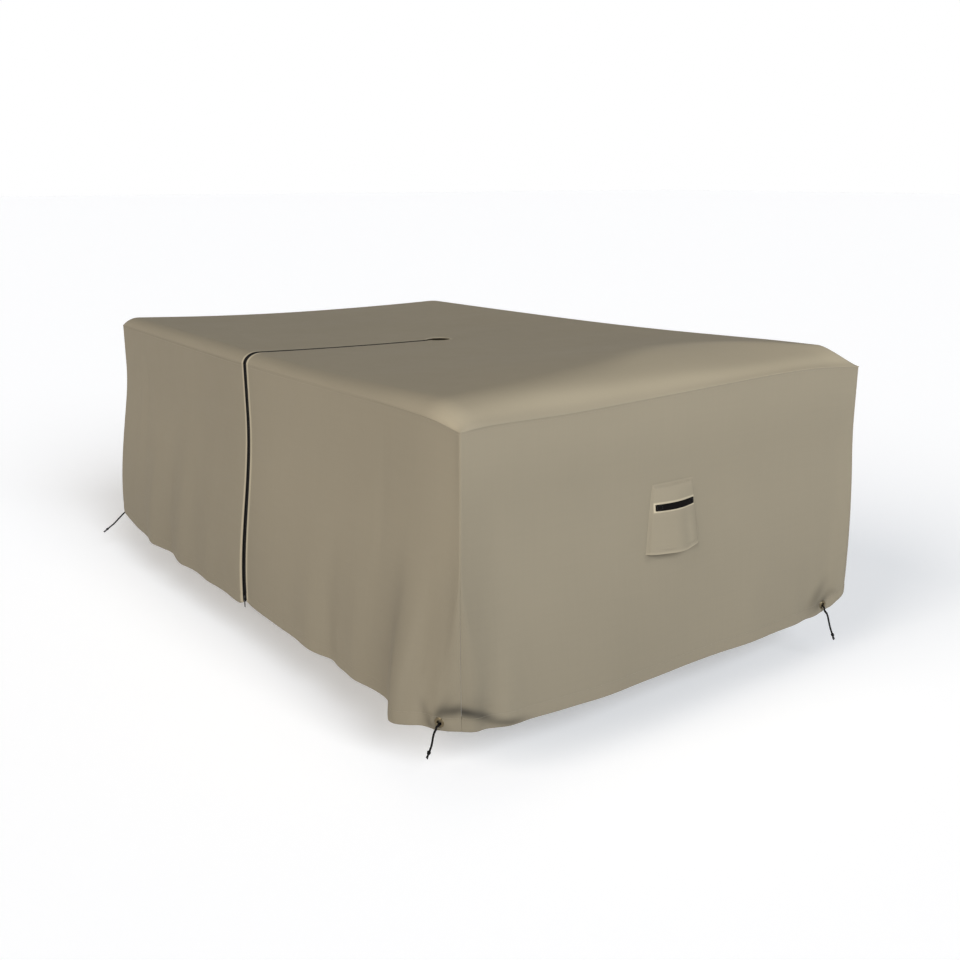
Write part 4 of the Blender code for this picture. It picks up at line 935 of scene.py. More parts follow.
def route_points(corner):
    side_name = EYELETS[corner].side
    middle, normal, sideways = eyelet_frame(side_name)
    points = []
    for index, point in enumerate(ROUTE_START + ROUTE_ENDS[corner]):
        outward = normal if index < NORMAL_POINTS else SIDES[side_name].outward
        step = outward * point.out + sideways * point.side - Vector((0, 0, point.down))
        points.append(middle + step / 1000)
    return np.array([tuple(point) for point in points]), np.array(sideways)


def smooth_route(points, count):
    run = run_along(points)
    at = np.linspace(0, run[-1], count)
    return np.stack([curve_value(run, points[:, axis], at) for axis in range(3)], axis=-1)


def strand_lines(corner):
    points, sideways = route_points(corner)
    route = smooth_route(points, STRAND_POINTS)
    onward = unit(np.gradient(route, axis=0))
    apart = unit(sideways - onward * (onward @ sideways)[:, None]) * STRAND_SPREAD
    return [route - apart, route + apart], route, sideways


def tube(points, radii, segments):
    """Points and faces of a tube along a line, closed at both ends."""
    count = len(points)
    onward = unit(np.gradient(points, axis=0))
    helper = np.array((0.0, 0.0, 1.0)) if abs(onward[0, 2]) < 0.8 else np.array((1.0, 0.0, 0.0))
    across = unit(np.cross(onward[0], helper))
    turns = 2 * math.pi * np.arange(segments)[:, None] / segments
    rings = []
    for point, ahead, radius in zip(points, onward, radii):
        across = unit(across - ahead * (across @ ahead))
        rings.append(point + (across * np.cos(turns) + np.cross(ahead, across) * np.sin(turns)) * radius)
    faces = ring_faces(count, segments)
    faces.append(tuple(reversed(range(segments))))
    faces.append(tuple(range((count - 1) * segments, count * segments)))
    return np.concatenate(rings), faces


def joined(name, shapes, finish):
    points, faces, start = [], [], 0
    for shape_points, shape_faces in shapes:
        points.append(shape_points)
        faces += [tuple(index + start for index in face) for face in shape_faces]
        start += len(shape_points)
    return add_mesh(name, np.concatenate(points), faces, finish)


def make_knot(corner, route, sideways):
    """Both strands tied together in two and a half turns, with their short ends below."""
    axis = unit(route[-1] - route[-2])
    across = unit(sideways - axis * (axis @ sideways))
    thick = np.cross(axis, across)
    yarn, radius = KNOT_RADIUS * KNOT_YARN, KNOT_RADIUS * (1 - KNOT_YARN)

    def line(onward, right, up):
        return route[-1] + axis * onward[:, None] + across * right[:, None] + thick * up[:, None]

    turns = np.linspace(0, 2 * math.pi * KNOT_TURNS, 56)
    climb = np.linspace(yarn, KNOT_LENGTH - yarn, len(turns))
    coil = line(climb, np.cos(turns) * radius, np.sin(turns) * radius)
    share = np.linspace(0, 1, 14)
    crossing = line(between(KNOT_LENGTH * CROSSING_TOP, KNOT_LENGTH * CROSSING_BOTTOM, share),
                    np.cos(math.pi * share) * radius * CROSSING_OUT,
                    radius * (CROSSING_OUT + CROSSING_LIFT * np.sin(math.pi * share)))
    shapes = [tube(points, np.full(len(points), yarn), CORD_SEGMENTS) for points in (coil, crossing)]
    along = np.linspace(-KNOT_LENGTH, TAIL_LENGTH, 16)
    spread = STRAND_SPREAD * (1 + TAIL_SPREAD * smooth_step(along / TAIL_LENGTH))
    radii = STRAND_RADIUS * (1 + TAIL_FRAY * grows(along / TAIL_LENGTH, FRAY_START, 1 - FRAY_START))
    for way in (-1, 1):
        tail = line(KNOT_LENGTH + along, way * spread, TAIL_WAVE * way * np.sin(along * TAIL_WAVE_RATE))
        shapes.append(tube(tail, radii, CORD_SEGMENTS))
    made = joined("knot_piece_" + corner, shapes, CORD_FINISH)
    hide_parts("knot_" + corner)
    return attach(made, "root")


def make_cords():
    for corner in EYELETS:
        lines, route, sideways = strand_lines(corner)
        knot = make_knot(corner, route, sideways)
        for letter, line in zip("ab", lines):
            curve = bpy.data.curves.new(f"cord_{corner}_{letter}", "CURVE")
            curve.dimensions = "3D"
            curve.bevel_depth = STRAND_RADIUS
            curve.bevel_resolution = 4
            curve.use_fill_caps = True
            spline = curve.splines.new("POLY")
            spline.points.add(len(line) - 1)
            for target, point in zip(spline.points, line):
                target.co = (*point, 1.0)
            curve.materials.append(CORD_FINISH)
            strand = placed(f"cord_{corner}_{letter}", curve)
            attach(strand, "root")
            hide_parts(f"drawcord_{corner}_{letter}")
            length = float(run_along(line)[-1])
            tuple(line[0])


# Cloth


def side_places(side, start, end, extra):
    """Columns of a side's mesh: finer by its ends, its eyelet and the zip."""
    inset = CLOTH / 2 / side.length
    drawn_in = SEAM_DRAWN / side.length
    start, end = start + inset - drawn_in * (start == 0), end - inset + drawn_in * (end == 1)
    eyelet, reach = 1 - eyelet_of(side).from_right / side.length, FINE_BY_EYELET / side.length
    fine = []
    if start < eyelet < end:
        fine = steps(eyelet - reach, min(eyelet + reach, end), FINE_CELL / side.length)
    by_ends = []
    for distance in COLUMNS_BY_END:
        by_ends += [start + distance / side.length, end - distance / side.length]
    places = merged([start, end], fine, extra, by_ends, steps(start, end, CELL / side.length),
                    least=CLOSEST["columns"] / side.length)
    return places[(places >= start) & (places <= end)]


def welt_rise(from_edge):
    """How far the cloth stands out where it is turned back along an edge."""
    return WELT_PROUD * fades(from_edge, WELT_WIDTH, WELT_FADE)


def slot_pale_and_shade(from_zip, pale, shade_width):
    """The cloth beside the zip's slot is paler, but for a painted shade line along its edge."""
    paler = PALE_WELT * fades(from_zip, WELT_WIDTH, WELT_FADE) + pale * fades(from_zip, PALE_WIDTH, PALE_FADE)
    return between(SLOT_SHADE, paler, grows(from_zip, shade_width, SLOT_SHADOW_FADE))


def side_tone(name, place, drop, height):
    """How much paler or darker a side's cloth is: its washes, the painted shade in its creases, and the zip's
    pale edges and painted shade line.
    """
    side = SIDES[name]
    along = place * side.length
    measures = {
        "place": place, "drop": drop, "height": height, "along": along, "down": drop * FALL,
        "from_right": side.length - along,
        "from_end": from_ends(place, side.length),
        "below_lip": SEAM_LEVEL - level_at(side, place) + drop * side_height(side, place) - VENT_LIP,
        "beside_lip": abs(along - VENT_PLACE * side.length) - VENT_LIP_WIDTH / 2,
    }
    tone = washed("every side", measures) + washed(name, measures)
    # Painted shade in the creases by the eyelets
    for shade_spot in SHADE_SPOTS:
        if shade_spot.side == name:
            tone = tone - shade_spot.dark * leaning_hill(shade_spot, along - shade_spot.along, shade_spot.above - height)
    if name == "front":
        tone = tone + slot_pale_and_shade(from_slot(place), PALE_EDGE, SLOT_SHADOW_WIDTH)
    return tone


def side_shape(side, places, level, by_zip):
    """How far behind its plain face a side's cloth lies: the hem's seam and channel, and the zip's welt."""
    shape = HEM_GROOVE * hill(level, HEM_STITCH, HEM_GROOVE_WIDTH)
    shape = shape - CHANNEL_PROUD * hill(level, CHANNEL_MIDDLE, CHANNEL_WIDTH)
    waves = np.sin(places * side.length * 2 * math.pi / PUCKER_PITCH)
    shape = shape + PUCKER * waves * hill(level, PUCKER_MIDDLE, PUCKER_WIDTH)
    if by_zip:
        shape = shape - welt_rise(from_slot(places))
        for stitch in ZIP_STITCHES:
            shape = shape + ZIP_STITCH_GROOVE * hill(from_slot(places), stitch, ZIP_STITCH_WIDTH)
    return shape


def make_side(node, side_name, start, end, extra=(), hole=None):
    """A panel with its hem: rows down the face, round the hem's bend and up behind it."""
    side, by_zip = SIDES[side_name], side_name == "front"
    places = side_places(side, start, end, extra)
    across = np.ones(len(places))
    heights = side_height(side, places)
    rows = merged(ROWS_BY_SEAM, steps(0, 1, CELL / FALL) * (FALL - FINE_BY_HEM), least=CLOSEST["rows"])
    drops = np.maximum((rows / rows[-1])[:, None] * (1 - FINE_BY_HEM / heights), CLOTH / 2 / heights)
    by_hem = np.concatenate([ROWS_BY_HEM, [HEM_BEND]])
    drops = np.concatenate([drops, 1 - by_hem[:, None] / heights])
    shape = side_shape(side, places, (1 - drops) * heights, by_zip)
    angles = math.pi * np.arange(1, HEM_STEPS + 1)[:, None] / HEM_STEPS
    rises = ROWS_BEHIND[:, None]
    pressed = grows(rises, HEM_HEIGHT * 0.45, HEM_HEIGHT * 0.50)
    if by_zip:
        pressed = pressed * grows(abs(places - 0.5) * side.length, ZIP_TAPE_REACH + TAPE_CLEARANCE,
                                  TAPE_CLEARANCE_FADE)
    behind = between(2 * HEM_BEND, 2 * CLOTH + PRESSED, pressed) * across
    skins, skin_drops = [], []
    faces_and_backs = (HEM_BEND, shape, behind), (CHANNEL / 2, CLOTH + shape * FOLLOWS, behind - CLOTH)
    for bend, face, back in faces_and_backs:
        levels = np.concatenate([HEM_BEND - bend * np.sin(angles), rises])
        skin_drops.append(np.concatenate([drops, 1 - levels / heights]))
        depths = np.concatenate([face, (HEM_BEND - bend * np.cos(angles)) * across, back])
        skins.append(side_point(side_name, places, skin_drops[-1], depths))
    outer, inner = skins
    rows, columns = outer.shape[:2]
    centres = (outer[:-1, :-1] + outer[1:, 1:]) / 2
    from_eyelet = np.linalg.norm(centres - np.array(eyelet_frame(side_name)[0]), axis=-1)
    keep = (from_eyelet > BARREL_RADIUS + BARREL_ROOM) | (np.arange(rows - 1)[:, None] >= len(drops) - 1)
    if hole:
        keep &= ~np.all((centres > hole[0]) & (centres < hole[1]), axis=-1)
    run = run_along(outer[:, columns // 2])
    coordinates = np.stack(np.broadcast_arrays(places * side.length, run[:, None]), axis=-1)
    tones = side_tone(side_name, places[None, :], skin_drops[0], (1 - skin_drops[0]) * heights)
    # Painted shade on the raw edges inside the zip's slot, and painted light on those where two sides meet,
    # against the shade in the seam
    in_slot = (from_slot(places) < 2 * CLOTH) & by_zip
    at_corner = from_ends(places, side.length) < 0.001
    edge_tones = (SLOT_SHADE * in_slot + CORNER_GLOW * at_corner) * np.ones((rows, 1))
    cloth = closed_cloth(node + "_cloth", outer, inner, grid_faces(rows, columns, keep), CLOTH_FINISH,
                         coordinates, tones, edge_tones)
    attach(cloth, "root")
    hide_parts(node)


def over_shoulder(width, first_turn, count):
    """How far in a round shoulder's points lie, evenly spaced in angle."""
    return width * (1 - np.cos(np.radians(np.linspace(first_turn, 90.0, count))))


def snap_to_hole(skins, index, radius):
    """Moves a point of both skins onto the umbrella hole's edge, or straight to it beside the slot."""
    centre = np.array((0.0, -UMBRELLA_FORWARD))
    x, y = skins[0][index, :2] - centre
    if abs(x) < (ZIP_SLOT + CLOTH) / 2 + NEARLY and y < 0:
        offset = np.array((x, -math.sqrt(radius**2 - x**2)))
    else:
        offset = np.array((x, y)) / math.hypot(x, y) * radius
    for skin in skins:
        skin[index, :2] = centre + offset


def make_top():
    """The top panel, with the umbrella's hole and the zip's slot in front of it."""
    middle_y = 0.5 - UMBRELLA_FORWARD / WIDTH
    ends_x, ends_y = (over_shoulder(SHOULDER, FIRST_TURN, TURN_STEPS) / length for length in (LENGTH, WIDTH))
    widest = max(row.width for row in NEAR_SHOULDER)
    near_x = 1 - over_shoulder(widest, FIRST_TURN, NEAR_STEPS)[::-1] / LENGTH
    back_y = (1 - ends_y)[::-1]
    fine_x, fine_y = (
        steps(middle - FINE_BY_HOLE / length, middle + FINE_BY_HOLE / length, FINE_CELL / length)
        for middle, length in ((0.5, LENGTH), (middle_y, WIDTH)))
    inner_x = merged(beside_slot([CLOTH / 2]), beside_slot(TOP_COLUMNS_BY_ZIP), fine_x,
                     steps(ends_x[-1], near_x[0], TOP_CELL / LENGTH), least=CLOSEST["top_x"] / LENGTH)
    inner_y = merged(fine_y, steps(ends_y[-1], back_y[0], TOP_CELL / WIDTH), least=CLOSEST["top_y"] / WIDTH)
    places_x, places_y = (
        np.concatenate([first, inner[(inner > first[-1] + NEARLY) & (inner < last[0] - NEARLY)], last])
        for first, inner, last in ((ends_x, inner_x, near_x), (ends_y, inner_y, back_y)))
    # Rows run from the back to the front, so that the grid faces up
    place_x, place_y = np.meshgrid(places_x, places_y[::-1])
    from_front, inset = place_y * WIDTH, (1 - place_x) * LENGTH
    from_zip, before_hole = from_slot(place_x), place_y < middle_y
    from_hole = np.hypot((place_x - 0.5) * LENGTH, (place_y - middle_y) * WIDTH) - UMBRELLA_RADIUS
    welt = welt_rise(from_zip) * (1 - LOWER_ON_TOP * grows(from_front, 0.03, 0.05)) * before_hole
    shape = -np.maximum(welt, welt_rise(from_hole))
    from_edge = np.minimum(from_ends(place_x, LENGTH), from_ends(place_y, WIDTH))
    waves = rippled(place_x * LENGTH, from_front, TOP_WAVES) * grows(from_edge, 0.02, 0.08)
    waves = waves * (1 - fades(from_zip, 0.020, 0.060) * before_hole)
    outer = top_point(place_x, place_y, shape - waves)
    inner = top_point(place_x, place_y, CLOTH + shape * FOLLOWS - waves)
    hole_radius = UMBRELLA_RADIUS + CLOTH / 2
    middles = (outer[:-1, :-1, :2] + outer[1:, 1:, :2]) / 2
    in_hole = np.linalg.norm(middles - (0.0, -UMBRELLA_FORWARD), axis=-1) < hole_radius
    in_slot = (abs(middles[..., 0]) < (ZIP_SLOT + CLOTH) / 2) & (middles[..., 1] < -UMBRELLA_FORWARD)
    rows, columns = outer.shape[:2]
    faces = grid_faces(rows, columns, ~(in_hole | in_slot))
    skins = outer.reshape(-1, 3), inner.reshape(-1, 3)
    for index in set(faces.ravel()) & set(grid_faces(rows, columns, in_hole).ravel()):
        snap_to_hole(skins, index, hole_radius)
    on_top = grows(from_front, 0.01, 0.06)
    # The zip's pale edges, with a painted shade line along the slot
    tones = slot_pale_and_shade(from_zip, between(PALE_EDGE, PALE_ON_TOP, on_top),
                        between(SLOT_SHADOW_WIDTH, SLOT_SHADOW_ON_TOP, on_top)) * before_hole
    tones = tones + washed("top", {"place_x": place_x, "place_y": place_y, "inset": inset,
                                   "from_front": from_front, "from_hole": np.maximum(from_hole, 0)})
    width = row_curve(NEAR_SHOULDER, "width", place_y)
    # Painted light on the near end's shoulder, and a painted highlight along its crest
    pale, crest, starts, ends = (
        row_curve(PAINTED_SHOULDER_LIGHT, column, place_y) for column in ("pale", "crest", "starts", "ends"))
    tones = tones + pale * fades(inset / width, starts, ends - starts)
    tones = tones + crest * hill(inset, CREST_LIGHT_INSET, CREST_LIGHT_WIDTH)
    # Painted shade on the raw edges inside the zip's slot
    edge_tones = SLOT_SHADE * (from_zip < 2 * CLOTH) * before_hole
    cloth = closed_cloth("top_panel_cloth", outer, inner, faces, CLOTH_FINISH,
                         np.stack([place_x * LENGTH, from_front], axis=-1), tones, edge_tones)
    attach(cloth, "root")
    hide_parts("top_panel")


def make_sides():
    slot = ZIP_SLOT / 2 / LENGTH
    columns = beside_slot(COLUMNS_BY_ZIP)
    make_side("front_panel_left", "front", 0.0, 0.5 - slot, columns)
    make_side("front_panel_right", "front", 0.5 + slot, 1.0, columns)
    middle = side_point("near_end", VENT_PLACE, 0.45)
    hole = ((middle[0] - 0.05, middle[1] - VENT_CUT_WIDTH / 2, SEAM_LEVEL - VENT_CUT_BOTTOM),
            (middle[0] + 0.05, middle[1] + VENT_CUT_WIDTH / 2, SEAM_LEVEL - VENT_CUT_TOP))
    make_side("near_end_panel", "near_end", 0.0, 1.0, hole=hole)
    make_side("back_panel", "back", 0.0, 1.0)
    make_side("far_end_panel", "far_end", 0.0, 1.0)


def scoop_point(level, across, lift):
    side = SIDES["near_end"]
    share = (level - VENT_TOP) / (VENT_LIP - VENT_TOP)
    half = between(VENT_TOP_WIDTH, VENT_LIP_WIDTH, share) / 2
    place = VENT_PLACE + across / WIDTH
    drop = (level_at(side, place) - SEAM_LEVEL + level) / side_height(side, place)
    point = side_point("near_end", place, drop)
    bulge = VENT_BULGE * np.maximum(share, 0.0) ** VENT_BULGE_POWER * np.cos(math.pi / 2 * across / half)
    return point + np.array(side.outward) * (lift + np.maximum(bulge, 0.0))[..., None]


def make_hood():
    """The vent's hood: sewn down at its top and sides, and standing off the panel at its lip."""
    tall = VENT_LIP - VENT_TOP
    by_strap = [(HANDLE_LEVEL + way * (HANDLE_WIDTH / 2 + out) - VENT_TOP) / tall
                for way in (-1, 1) for out in (-0.002, *BY_STRAP)]
    shares = merged([0.0, 1.0], by_strap, np.linspace(0, 0.08, 5), 1 - np.linspace(0, 0.04, 5),
                    np.linspace(0.08, 1, 36), least=CLOSEST["hood"] / tall)
    half_there = between(VENT_TOP_WIDTH, VENT_LIP_WIDTH, (HANDLE_LEVEL - VENT_TOP) / tall) / 2
    by_ends = [way * (HANDLE_LENGTH / 2 + out) / half_there
               for way in (-1, 1) for out in (-0.0015, *BY_STRAP)]
    by_sides = [way * (1 - out) for way in (-1, 1) for out in (0.0, 0.012, 0.03, 0.06, 0.10)]
    share, cross = np.meshgrid(shares, merged(by_sides, by_ends, np.linspace(-1, 1, 49), least=0.008),
                               indexing="ij")
    level = between(VENT_TOP, VENT_LIP, share)
    half = between(VENT_TOP_WIDTH, VENT_LIP_WIDTH, share) / 2
    across, from_lip = cross * half, (1 - share) * tall
    from_sides = np.minimum((1 - abs(cross)) * half, share * tall)
    free = grows(from_sides, 0.0, VENT_FREE)
    hemmed = VENT_HEM_RISE * fades(from_lip, VENT_HEM, VENT_HEM_FADE)
    sewn = VENT_GROOVE * hill(from_sides, VENT_STITCH, VENT_GROOVE_WIDTH)
    soft = VENT_WAVE * np.sin(cross * VENT_WAVE_RATE + VENT_WAVE_PHASE)
    soft = soft * grows(from_sides, 0.0, VENT_WAVE_FADE) * share
    lift = between(VENT_SEWN_LIFT, VENT_STAND_OFF + CLOTH, free) + (hemmed - sewn + soft) * free
    outer = scoop_point(level, across, lift)
    inner = scoop_point(level, across, lift - between(VENT_SEWN_LIFT / 2, CLOTH + hemmed * 0.3, free))
    from_strap = np.maximum(abs(level - HANDLE_LEVEL) - HANDLE_WIDTH / 2, abs(across) - HANDLE_LENGTH / 2)
    tones = HOOD_TONE + washed("hood", {"level": level, "cross": cross, "share": share, "from_lip": from_lip,
                                        "from_strap": from_strap})
    hood = closed_cloth("vent_hood_cloth", outer, inner, grid_faces(*outer.shape[:2]), CLOTH_FINISH,
                        np.stack([across + 0.7, level], axis=-1), tones)
    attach(hood, "root")
    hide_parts("vent_hood")


def make_handle():
    """The webbing strap across the hood."""
    row, column = np.meshgrid(np.linspace(-1, 1, 9), np.linspace(-1, 1, 61), indexing="ij")
    level = HANDLE_LEVEL + row * (HANDLE_WIDTH / 2 - 0.001)
    across = column * (HANDLE_LENGTH / 2 - 0.001)
    lift = VENT_STAND_OFF + CLOTH + STRAP_SEAT
    ribs, crown = STRAP_RIB * np.cos(row * math.pi * 4), STRAP_CROWN * (1 - column**2)
    outer = scoop_point(level, across, lift + HANDLE_THICKNESS + ribs + crown)
    inner = scoop_point(level, across, np.full_like(row, lift))
    strap = closed_cloth("handle_strap_webbing", outer, inner, grid_faces(*row.shape), WEBBING_FINISH,
                         np.stack([across, level], axis=-1), np.zeros_like(row))
    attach(strap, "root")
    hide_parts("handle_strap")


# Zip


def over_top(first_turn, turns, short, count):
    """Places from the front seam over the shoulder to this far short of the umbrella's hole."""
    end = 0.5 - (UMBRELLA_FORWARD + UMBRELLA_RADIUS + short) / WIDTH
    straight = np.linspace(SHOULDER / WIDTH, end, count)[1:]
    return np.concatenate([over_shoulder(SHOULDER, first_turn, turns) / WIDTH, straight])


def zip_line(count):
    """Evenly spaced points up the zip's middle and over the top, as a function of offset and depth."""
    drops = np.linspace(1 - ZIP_END / float(side_height(SIDES["front"], 0.5)), 0.0, 140)
    top_places = over_top(0.5, 40, 0.001, 80)

    def strip(offset, depth):
        place = 0.5 + offset / LENGTH
        line = np.concatenate([side_point("front", place, drops, depth), top_point(place, top_places, depth)])
        run = run_along(line)
        return points_at(np.linspace(0, run[-1], count), run, line)

    return strip


def make_tapes():
    strip = zip_line(420)
    for name, way in (("zip_tape_left", -1), ("zip_tape_right", 1)):
        offsets = way * np.array(TAPE_COLUMNS)[::-way]
        sinks = between(ZIP_CROWN_SINK, ZIP_TAPE_SINK, grows(abs(offsets), ZIP_CROWN_REACH, ZIP_CROWN_FADE))
        outer, inner = (
            np.stack([strip(offset, sink + deeper) for offset, sink in zip(offsets, sinks)], axis=1)
            for deeper in (0.0, ZIP_TAPE_THICKNESS))
        run = run_along(outer[:, 0])
        coordinates = np.stack(np.broadcast_arrays(run[:, None], offsets[None, :]), axis=-1)
        tape = closed_cloth(name + "_woven", outer, inner, grid_faces(*outer.shape[:2]), TAPE_FINISH,
                            coordinates, np.zeros(outer.shape[:2]))
        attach(tape, "root")
        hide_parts(name)


def make_teeth():
    """The zip's coil: a humped tooth from each tape in turn, hooked just past the middle."""
    count = int(ZIP_LENGTH / (TOOTH_PITCH / 2))
    line = zip_line(count)
    middle, raised = line(0.0, ZIP_CROWN_SINK), line(0.0, 0.0)
    normal = unit(raised - middle)
    across = unit(np.cross(unit(np.gradient(middle, axis=0)), normal))
    humps = np.array([0.15, 0.85, 1.0, 0.8, 0.0])[:, None] * TOOTH_RISE
    radii = np.array([0.7, 1.0, 1.0, 1.0, 0.8]) * TOOTH_WIDTH / 2
    shapes = []
    for index in range(1, count - 1):
        way = 1 if index % 2 else -1
        reach = np.linspace(-TOOTH_HOOK * way, TOOTH_REACH * way, len(radii))[:, None]
        shapes.append(tube(middle[index] + across[index] * reach + normal[index] * humps, radii, 5))
    teeth = joined("zip_coil_teeth", shapes, COIL_FINISH)
    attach(teeth, "root")
    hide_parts("zip_chain")


def finish_slider():
    for node in ("zip_slider", "zip_pull"):
        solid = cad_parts[node]
        solid.data.materials.clear()
        solid.data.materials.append(SLIDER_FINISH)


# Eyelets


def local_frame(middle, normal):
    side_way = Vector((0, 0, 1)).cross(normal).normalized()
    upward = normal.cross(side_way).normalized()
    turn = Matrix((side_way, upward, normal)).transposed().to_4x4()
    return Matrix.Translation(middle) @ turn


def eyelet_profile():
    """A rolled flange, the barrel's flared mouth, and the washer behind, as (radius, height)."""
    face = EYELET_SEAT + FLANGE_HEIGHT
    behind = -CLOTH - EYELET_SEAT
    mouth = [(0.0, 0.0013), (0.0002, 0.0006), (0.0007, 0.00015), (0.0015, 0.0), (0.0024, 0.00012),
             (0.0031, 0.0005), (0.0036, 0.0006)]
    flange = [(0.0028, 0.0004), (0.0014, 0.0007), (0.0004, 0.0012), (0.0, 0.0017)]
    return [
        (BORE_RADIUS, behind - WASHER_THICKNESS),
        *((BORE_RADIUS + out, face - down) for out, down in mouth),
        *((FLANGE_RADIUS - inward, face - down) for inward, down in flange),
        (FLANGE_RADIUS, EYELET_SEAT + 0.0001), (FLANGE_RADIUS - 0.0004, EYELET_SEAT),
        (BARREL_RADIUS, EYELET_SEAT),
        (BARREL_RADIUS, behind), (WASHER_RADIUS, behind), (WASHER_RADIUS, behind - WASHER_THICKNESS),
    ]


def make_eyelets():
    profile = eyelet_profile()
    for corner, eyelet in EYELETS.items():
        middle, normal, _ = eyelet_frame(eyelet.side)
        place = local_frame(middle, normal)
        points = []
        for angle in 2 * math.pi * np.arange(EYELET_SEGMENTS) / EYELET_SEGMENTS:
            for radius, height in profile:
                dent = EYELET_DENT * math.sin(3 * angle + len(corner)) if radius > BARREL_RADIUS else 0.0
                point = Vector((radius * math.cos(angle), radius * math.sin(angle), height + dent))
                points.append(place @ point)
        faces = ring_faces(EYELET_SEGMENTS, len(profile), closed=True)
        ring = add_mesh("eyelet_ring_" + corner, points, faces, BRASS_FINISH)
        ring.data.set_sharp_from_angle(angle=math.radians(50))
        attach(ring, "root")
        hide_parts("eyelet_" + corner)


# Stitching


def stitches(points, normals):
    """Short threads along a line on the cloth, each dipping into it at both ends."""
    run = run_along(points)
    count = int(run[-1] / STITCH_PITCH)
    starts = (run[-1] - (count - 1) * STITCH_PITCH - STITCH_LENGTH) / 2 + np.arange(count) * STITCH_PITCH
    shares = (0.0, 0.22, 0.78, 1.0)
    lifts = np.array([-0.5, 0.55, 0.55, -0.5]) * STITCH_RADIUS
    radii = np.array([0.6, 1.0, 1.0, 0.6]) * STITCH_RADIUS
    begin, finish = points_at(starts, run, points), points_at(starts + STITCH_LENGTH, run, points)
    normal = unit(points_at(starts + STITCH_LENGTH / 2, run, normals))[:, None, :]
    across = unit(np.cross(unit(finish - begin)[:, None, :], normal))
    segments = 4
    turns = math.pi / 4 + 2 * math.pi * np.arange(segments)[:, None] / segments
    rings = []
    for share, lift, radius in zip(shares, lifts, radii):
        centre = between(begin, finish, share)[:, None, :] + normal * lift
        rings.append(centre + across * (np.cos(turns) * radius) + normal * (np.sin(turns) * radius))
    last = (len(shares) - 1) * segments
    faces = ring_faces(len(shares), segments) + [(3, 2, 1, 0), (last, last + 1, last + 2, last + 3)]
    of_each = np.arange(count)[:, None, None] * len(shares) * segments
    return np.stack(rings, axis=1).reshape(-1, 3), (np.array(faces) + of_each).reshape(-1, 4)


def along_side(name, places, drops, proud=0.0):
    """A line on a side's outer face, this proud of it, and its normals."""
    side = SIDES[name]
    spread = 0.001
    aside, below = spread / side.length, spread / side_height(side, places)
    right = side_point(name, places + aside, drops) - side_point(name, places - aside, drops)
    down = side_point(name, places, drops + below) - side_point(name, places, drops - below)
    return side_point(name, places, drops, -proud), unit(np.cross(down, right))


def along_top(place_x, place_y, proud):
    points = top_point(place_x, place_y, -proud)
    return points, unit(points - top_point(place_x, place_y, 0.001))


def on_hood(level, across, lift):
    """A line on the vent's hood, this far off the panel, and its normals."""
    points = scoop_point(*np.broadcast_arrays(level, across, lift))
    return points, np.tile(np.array(SIDES["near_end"].outward), (len(points), 1))


def sewn_piece(name, lines, finish):
    made = joined(name, [stitches(points, normals) for points, normals in lines], finish)
    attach(made, "root")


def sew_sides():
    slot = (ZIP_SLOT / 2 + 0.002) / LENGTH
    hems, seams = [], []
    for name, side in SIDES.items():
        spans = [(0.001, 0.999)] if name != "front" else [(0.001, 0.5 - slot), (0.5 + slot, 0.999)]
        for start, end in spans:
            places = np.linspace(start, end, int((end - start) * side.length / 0.004))
            heights = side_height(side, places)
            hems.append(along_side(name, places, 1 - HEM_STITCH / heights, -HEM_GROOVE))
            seams.append(along_side(name, places, SEAM_STITCH / heights))
    return hems, seams


def sew_zip():
    """Two rows beside the zip's slot, up the front and over the top, and two round the umbrella's hole."""
    lines = []
    front = SIDES["front"]
    downs = (1 - np.linspace(0.010, 0.999, 360)) * float(side_height(front, 0.5))
    over = over_top(4.0, 30, 0.004, 100)
    for column in beside_slot(ZIP_STITCHES):
        columns = np.full(len(downs), column)
        lines.append(along_side("front", columns, downs / side_height(front, columns), WELT_PROUD - 0.0004))
        lines.append(along_top(np.full(len(over), column), over, WELT_PROUD - 0.0002))
    circle = np.radians(np.linspace(-74, 254, 120))
    for distance in (0.004, 0.011):
        radius = UMBRELLA_RADIUS + distance
        place_x = 0.5 + radius * np.cos(circle) / LENGTH
        place_y = 0.5 + (radius * np.sin(circle) - UMBRELLA_FORWARD) / WIDTH
        lines.append(along_top(place_x, place_y, WELT_PROUD - 0.0001))
    return lines


def sew_hood():
    lines = []
    lift = VENT_STAND_OFF + CLOTH
    sewn_lift = between(VENT_SEWN_LIFT, lift, smooth_step(VENT_STITCH / VENT_FREE))
    share = np.linspace(0.03, 0.99, 60)
    half = between(VENT_TOP_WIDTH, VENT_LIP_WIDTH, share) / 2
    for way in (-1, 1):
        lines.append(on_hood(between(VENT_TOP, VENT_LIP, share), way * (half - VENT_STITCH), sewn_lift))
    across = np.linspace(-1, 1, 60)
    lines.append(on_hood(VENT_TOP + VENT_STITCH, across * (VENT_TOP_WIDTH / 2 - 0.004), lift))
    lines.append(on_hood(VENT_LIP - VENT_HEM, across * (VENT_LIP_WIDTH / 2 - 0.006), lift + VENT_HEM_THICK))
    return lines


def sew_strap():
    """A box of stitches at each end of the strap."""
    lines = []
    lift = VENT_STAND_OFF + CLOTH + STRAP_SEAT + HANDLE_THICKNESS
    half = HANDLE_WIDTH / 2 - STRAP_MARGIN
    for end in (-1, 1):
        for inset in STRAP_STITCHES:
            rise = np.linspace(-1, 1, 12) * half
            lines.append(on_hood(HANDLE_LEVEL + rise, end * (HANDLE_LENGTH / 2 - inset), lift))
        for row in (-1, 1):
            run = end * (HANDLE_LENGTH / 2 - np.linspace(*STRAP_STITCHES, 12))
            lines.append(on_hood(HANDLE_LEVEL + row * half, run, lift))
    return lines


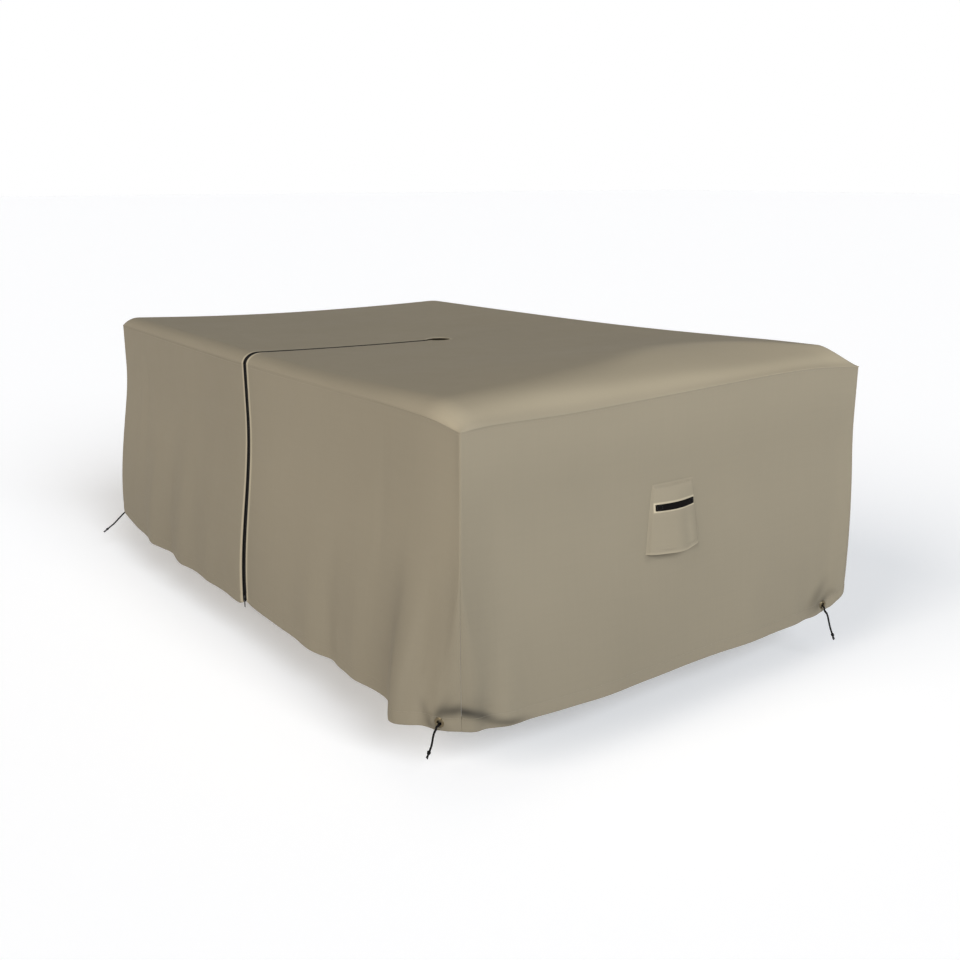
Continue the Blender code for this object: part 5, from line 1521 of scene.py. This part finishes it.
def make_stitching():
    hems, seams = sew_sides()
    sewn_piece("hem_stitching", hems, THREAD_FINISH)
    sewn_piece("seam_stitching", seams, THREAD_FINISH)
    sewn_piece("zip_stitching", sew_zip(), THREAD_FINISH)
    sewn_piece("vent_stitching", sew_hood(), THREAD_FINISH)
    sewn_piece("strap_stitching", sew_strap(), BLACK_THREAD_FINISH)


# Studio


def add_sun(sun):
    """A soft light from far off."""
    light = bpy.data.lights.new(sun.name, "SUN")
    light.energy = sun.strength
    light.color = sun.colour
    light.angle = math.radians(SUN_SPREAD)
    aim(placed(sun.name, light), -Vector(sun.source))


def make_studio():
    corners = [(x * FLOOR_SIZE / 2, y * FLOOR_SIZE / 2, FLOOR_LEVEL)
               for x, y in ((-1, -1), (1, -1), (1, 1), (-1, 1))]
    pale, _, shader = new_material("studio_floor", (0.88, 0.88, 0.88), roughness=0.9, specular=0.1)
    shader.inputs["Emission Color"].default_value = (1.0, 1.0, 1.0, 1.0)
    shader.inputs["Emission Strength"].default_value = 0.20
    floor = add_mesh("studio_floor", corners, [(0, 1, 2, 3)], pale)
    world = bpy.data.worlds.new("studio")
    world.use_nodes = True
    bpy.context.scene.world = world
    tree = world.node_tree
    background = tree.nodes["Background"]
    place = tree.nodes.new("ShaderNodeTexCoord").outputs["Generated"]
    split = tree.nodes.new("ShaderNodeSeparateXYZ")
    tree.links.new(place, split.inputs["Vector"])
    ramp = tree.nodes.new("ShaderNodeValToRGB")
    for element, (height, bright) in zip(ramp.color_ramp.elements, SKY):
        element.position = height
        element.color = (bright, bright, bright, 1.0)
    tree.links.new(split.outputs["Z"], ramp.inputs["Fac"])
    tree.links.new(ramp.outputs["Color"], background.inputs["Color"])
    background.inputs["Strength"].default_value = 1.0
    for sun in SUNS:
        add_sun(sun)
    bpy.context.scene.view_settings.view_transform = "Standard"
    bpy.context.scene.view_settings.look = "None"


add_camera()
make_cords()
make_top()
make_sides()
make_hood()
make_handle()
make_tapes()
make_teeth()
finish_slider()
make_eyelets()
make_stitching()
make_studio()
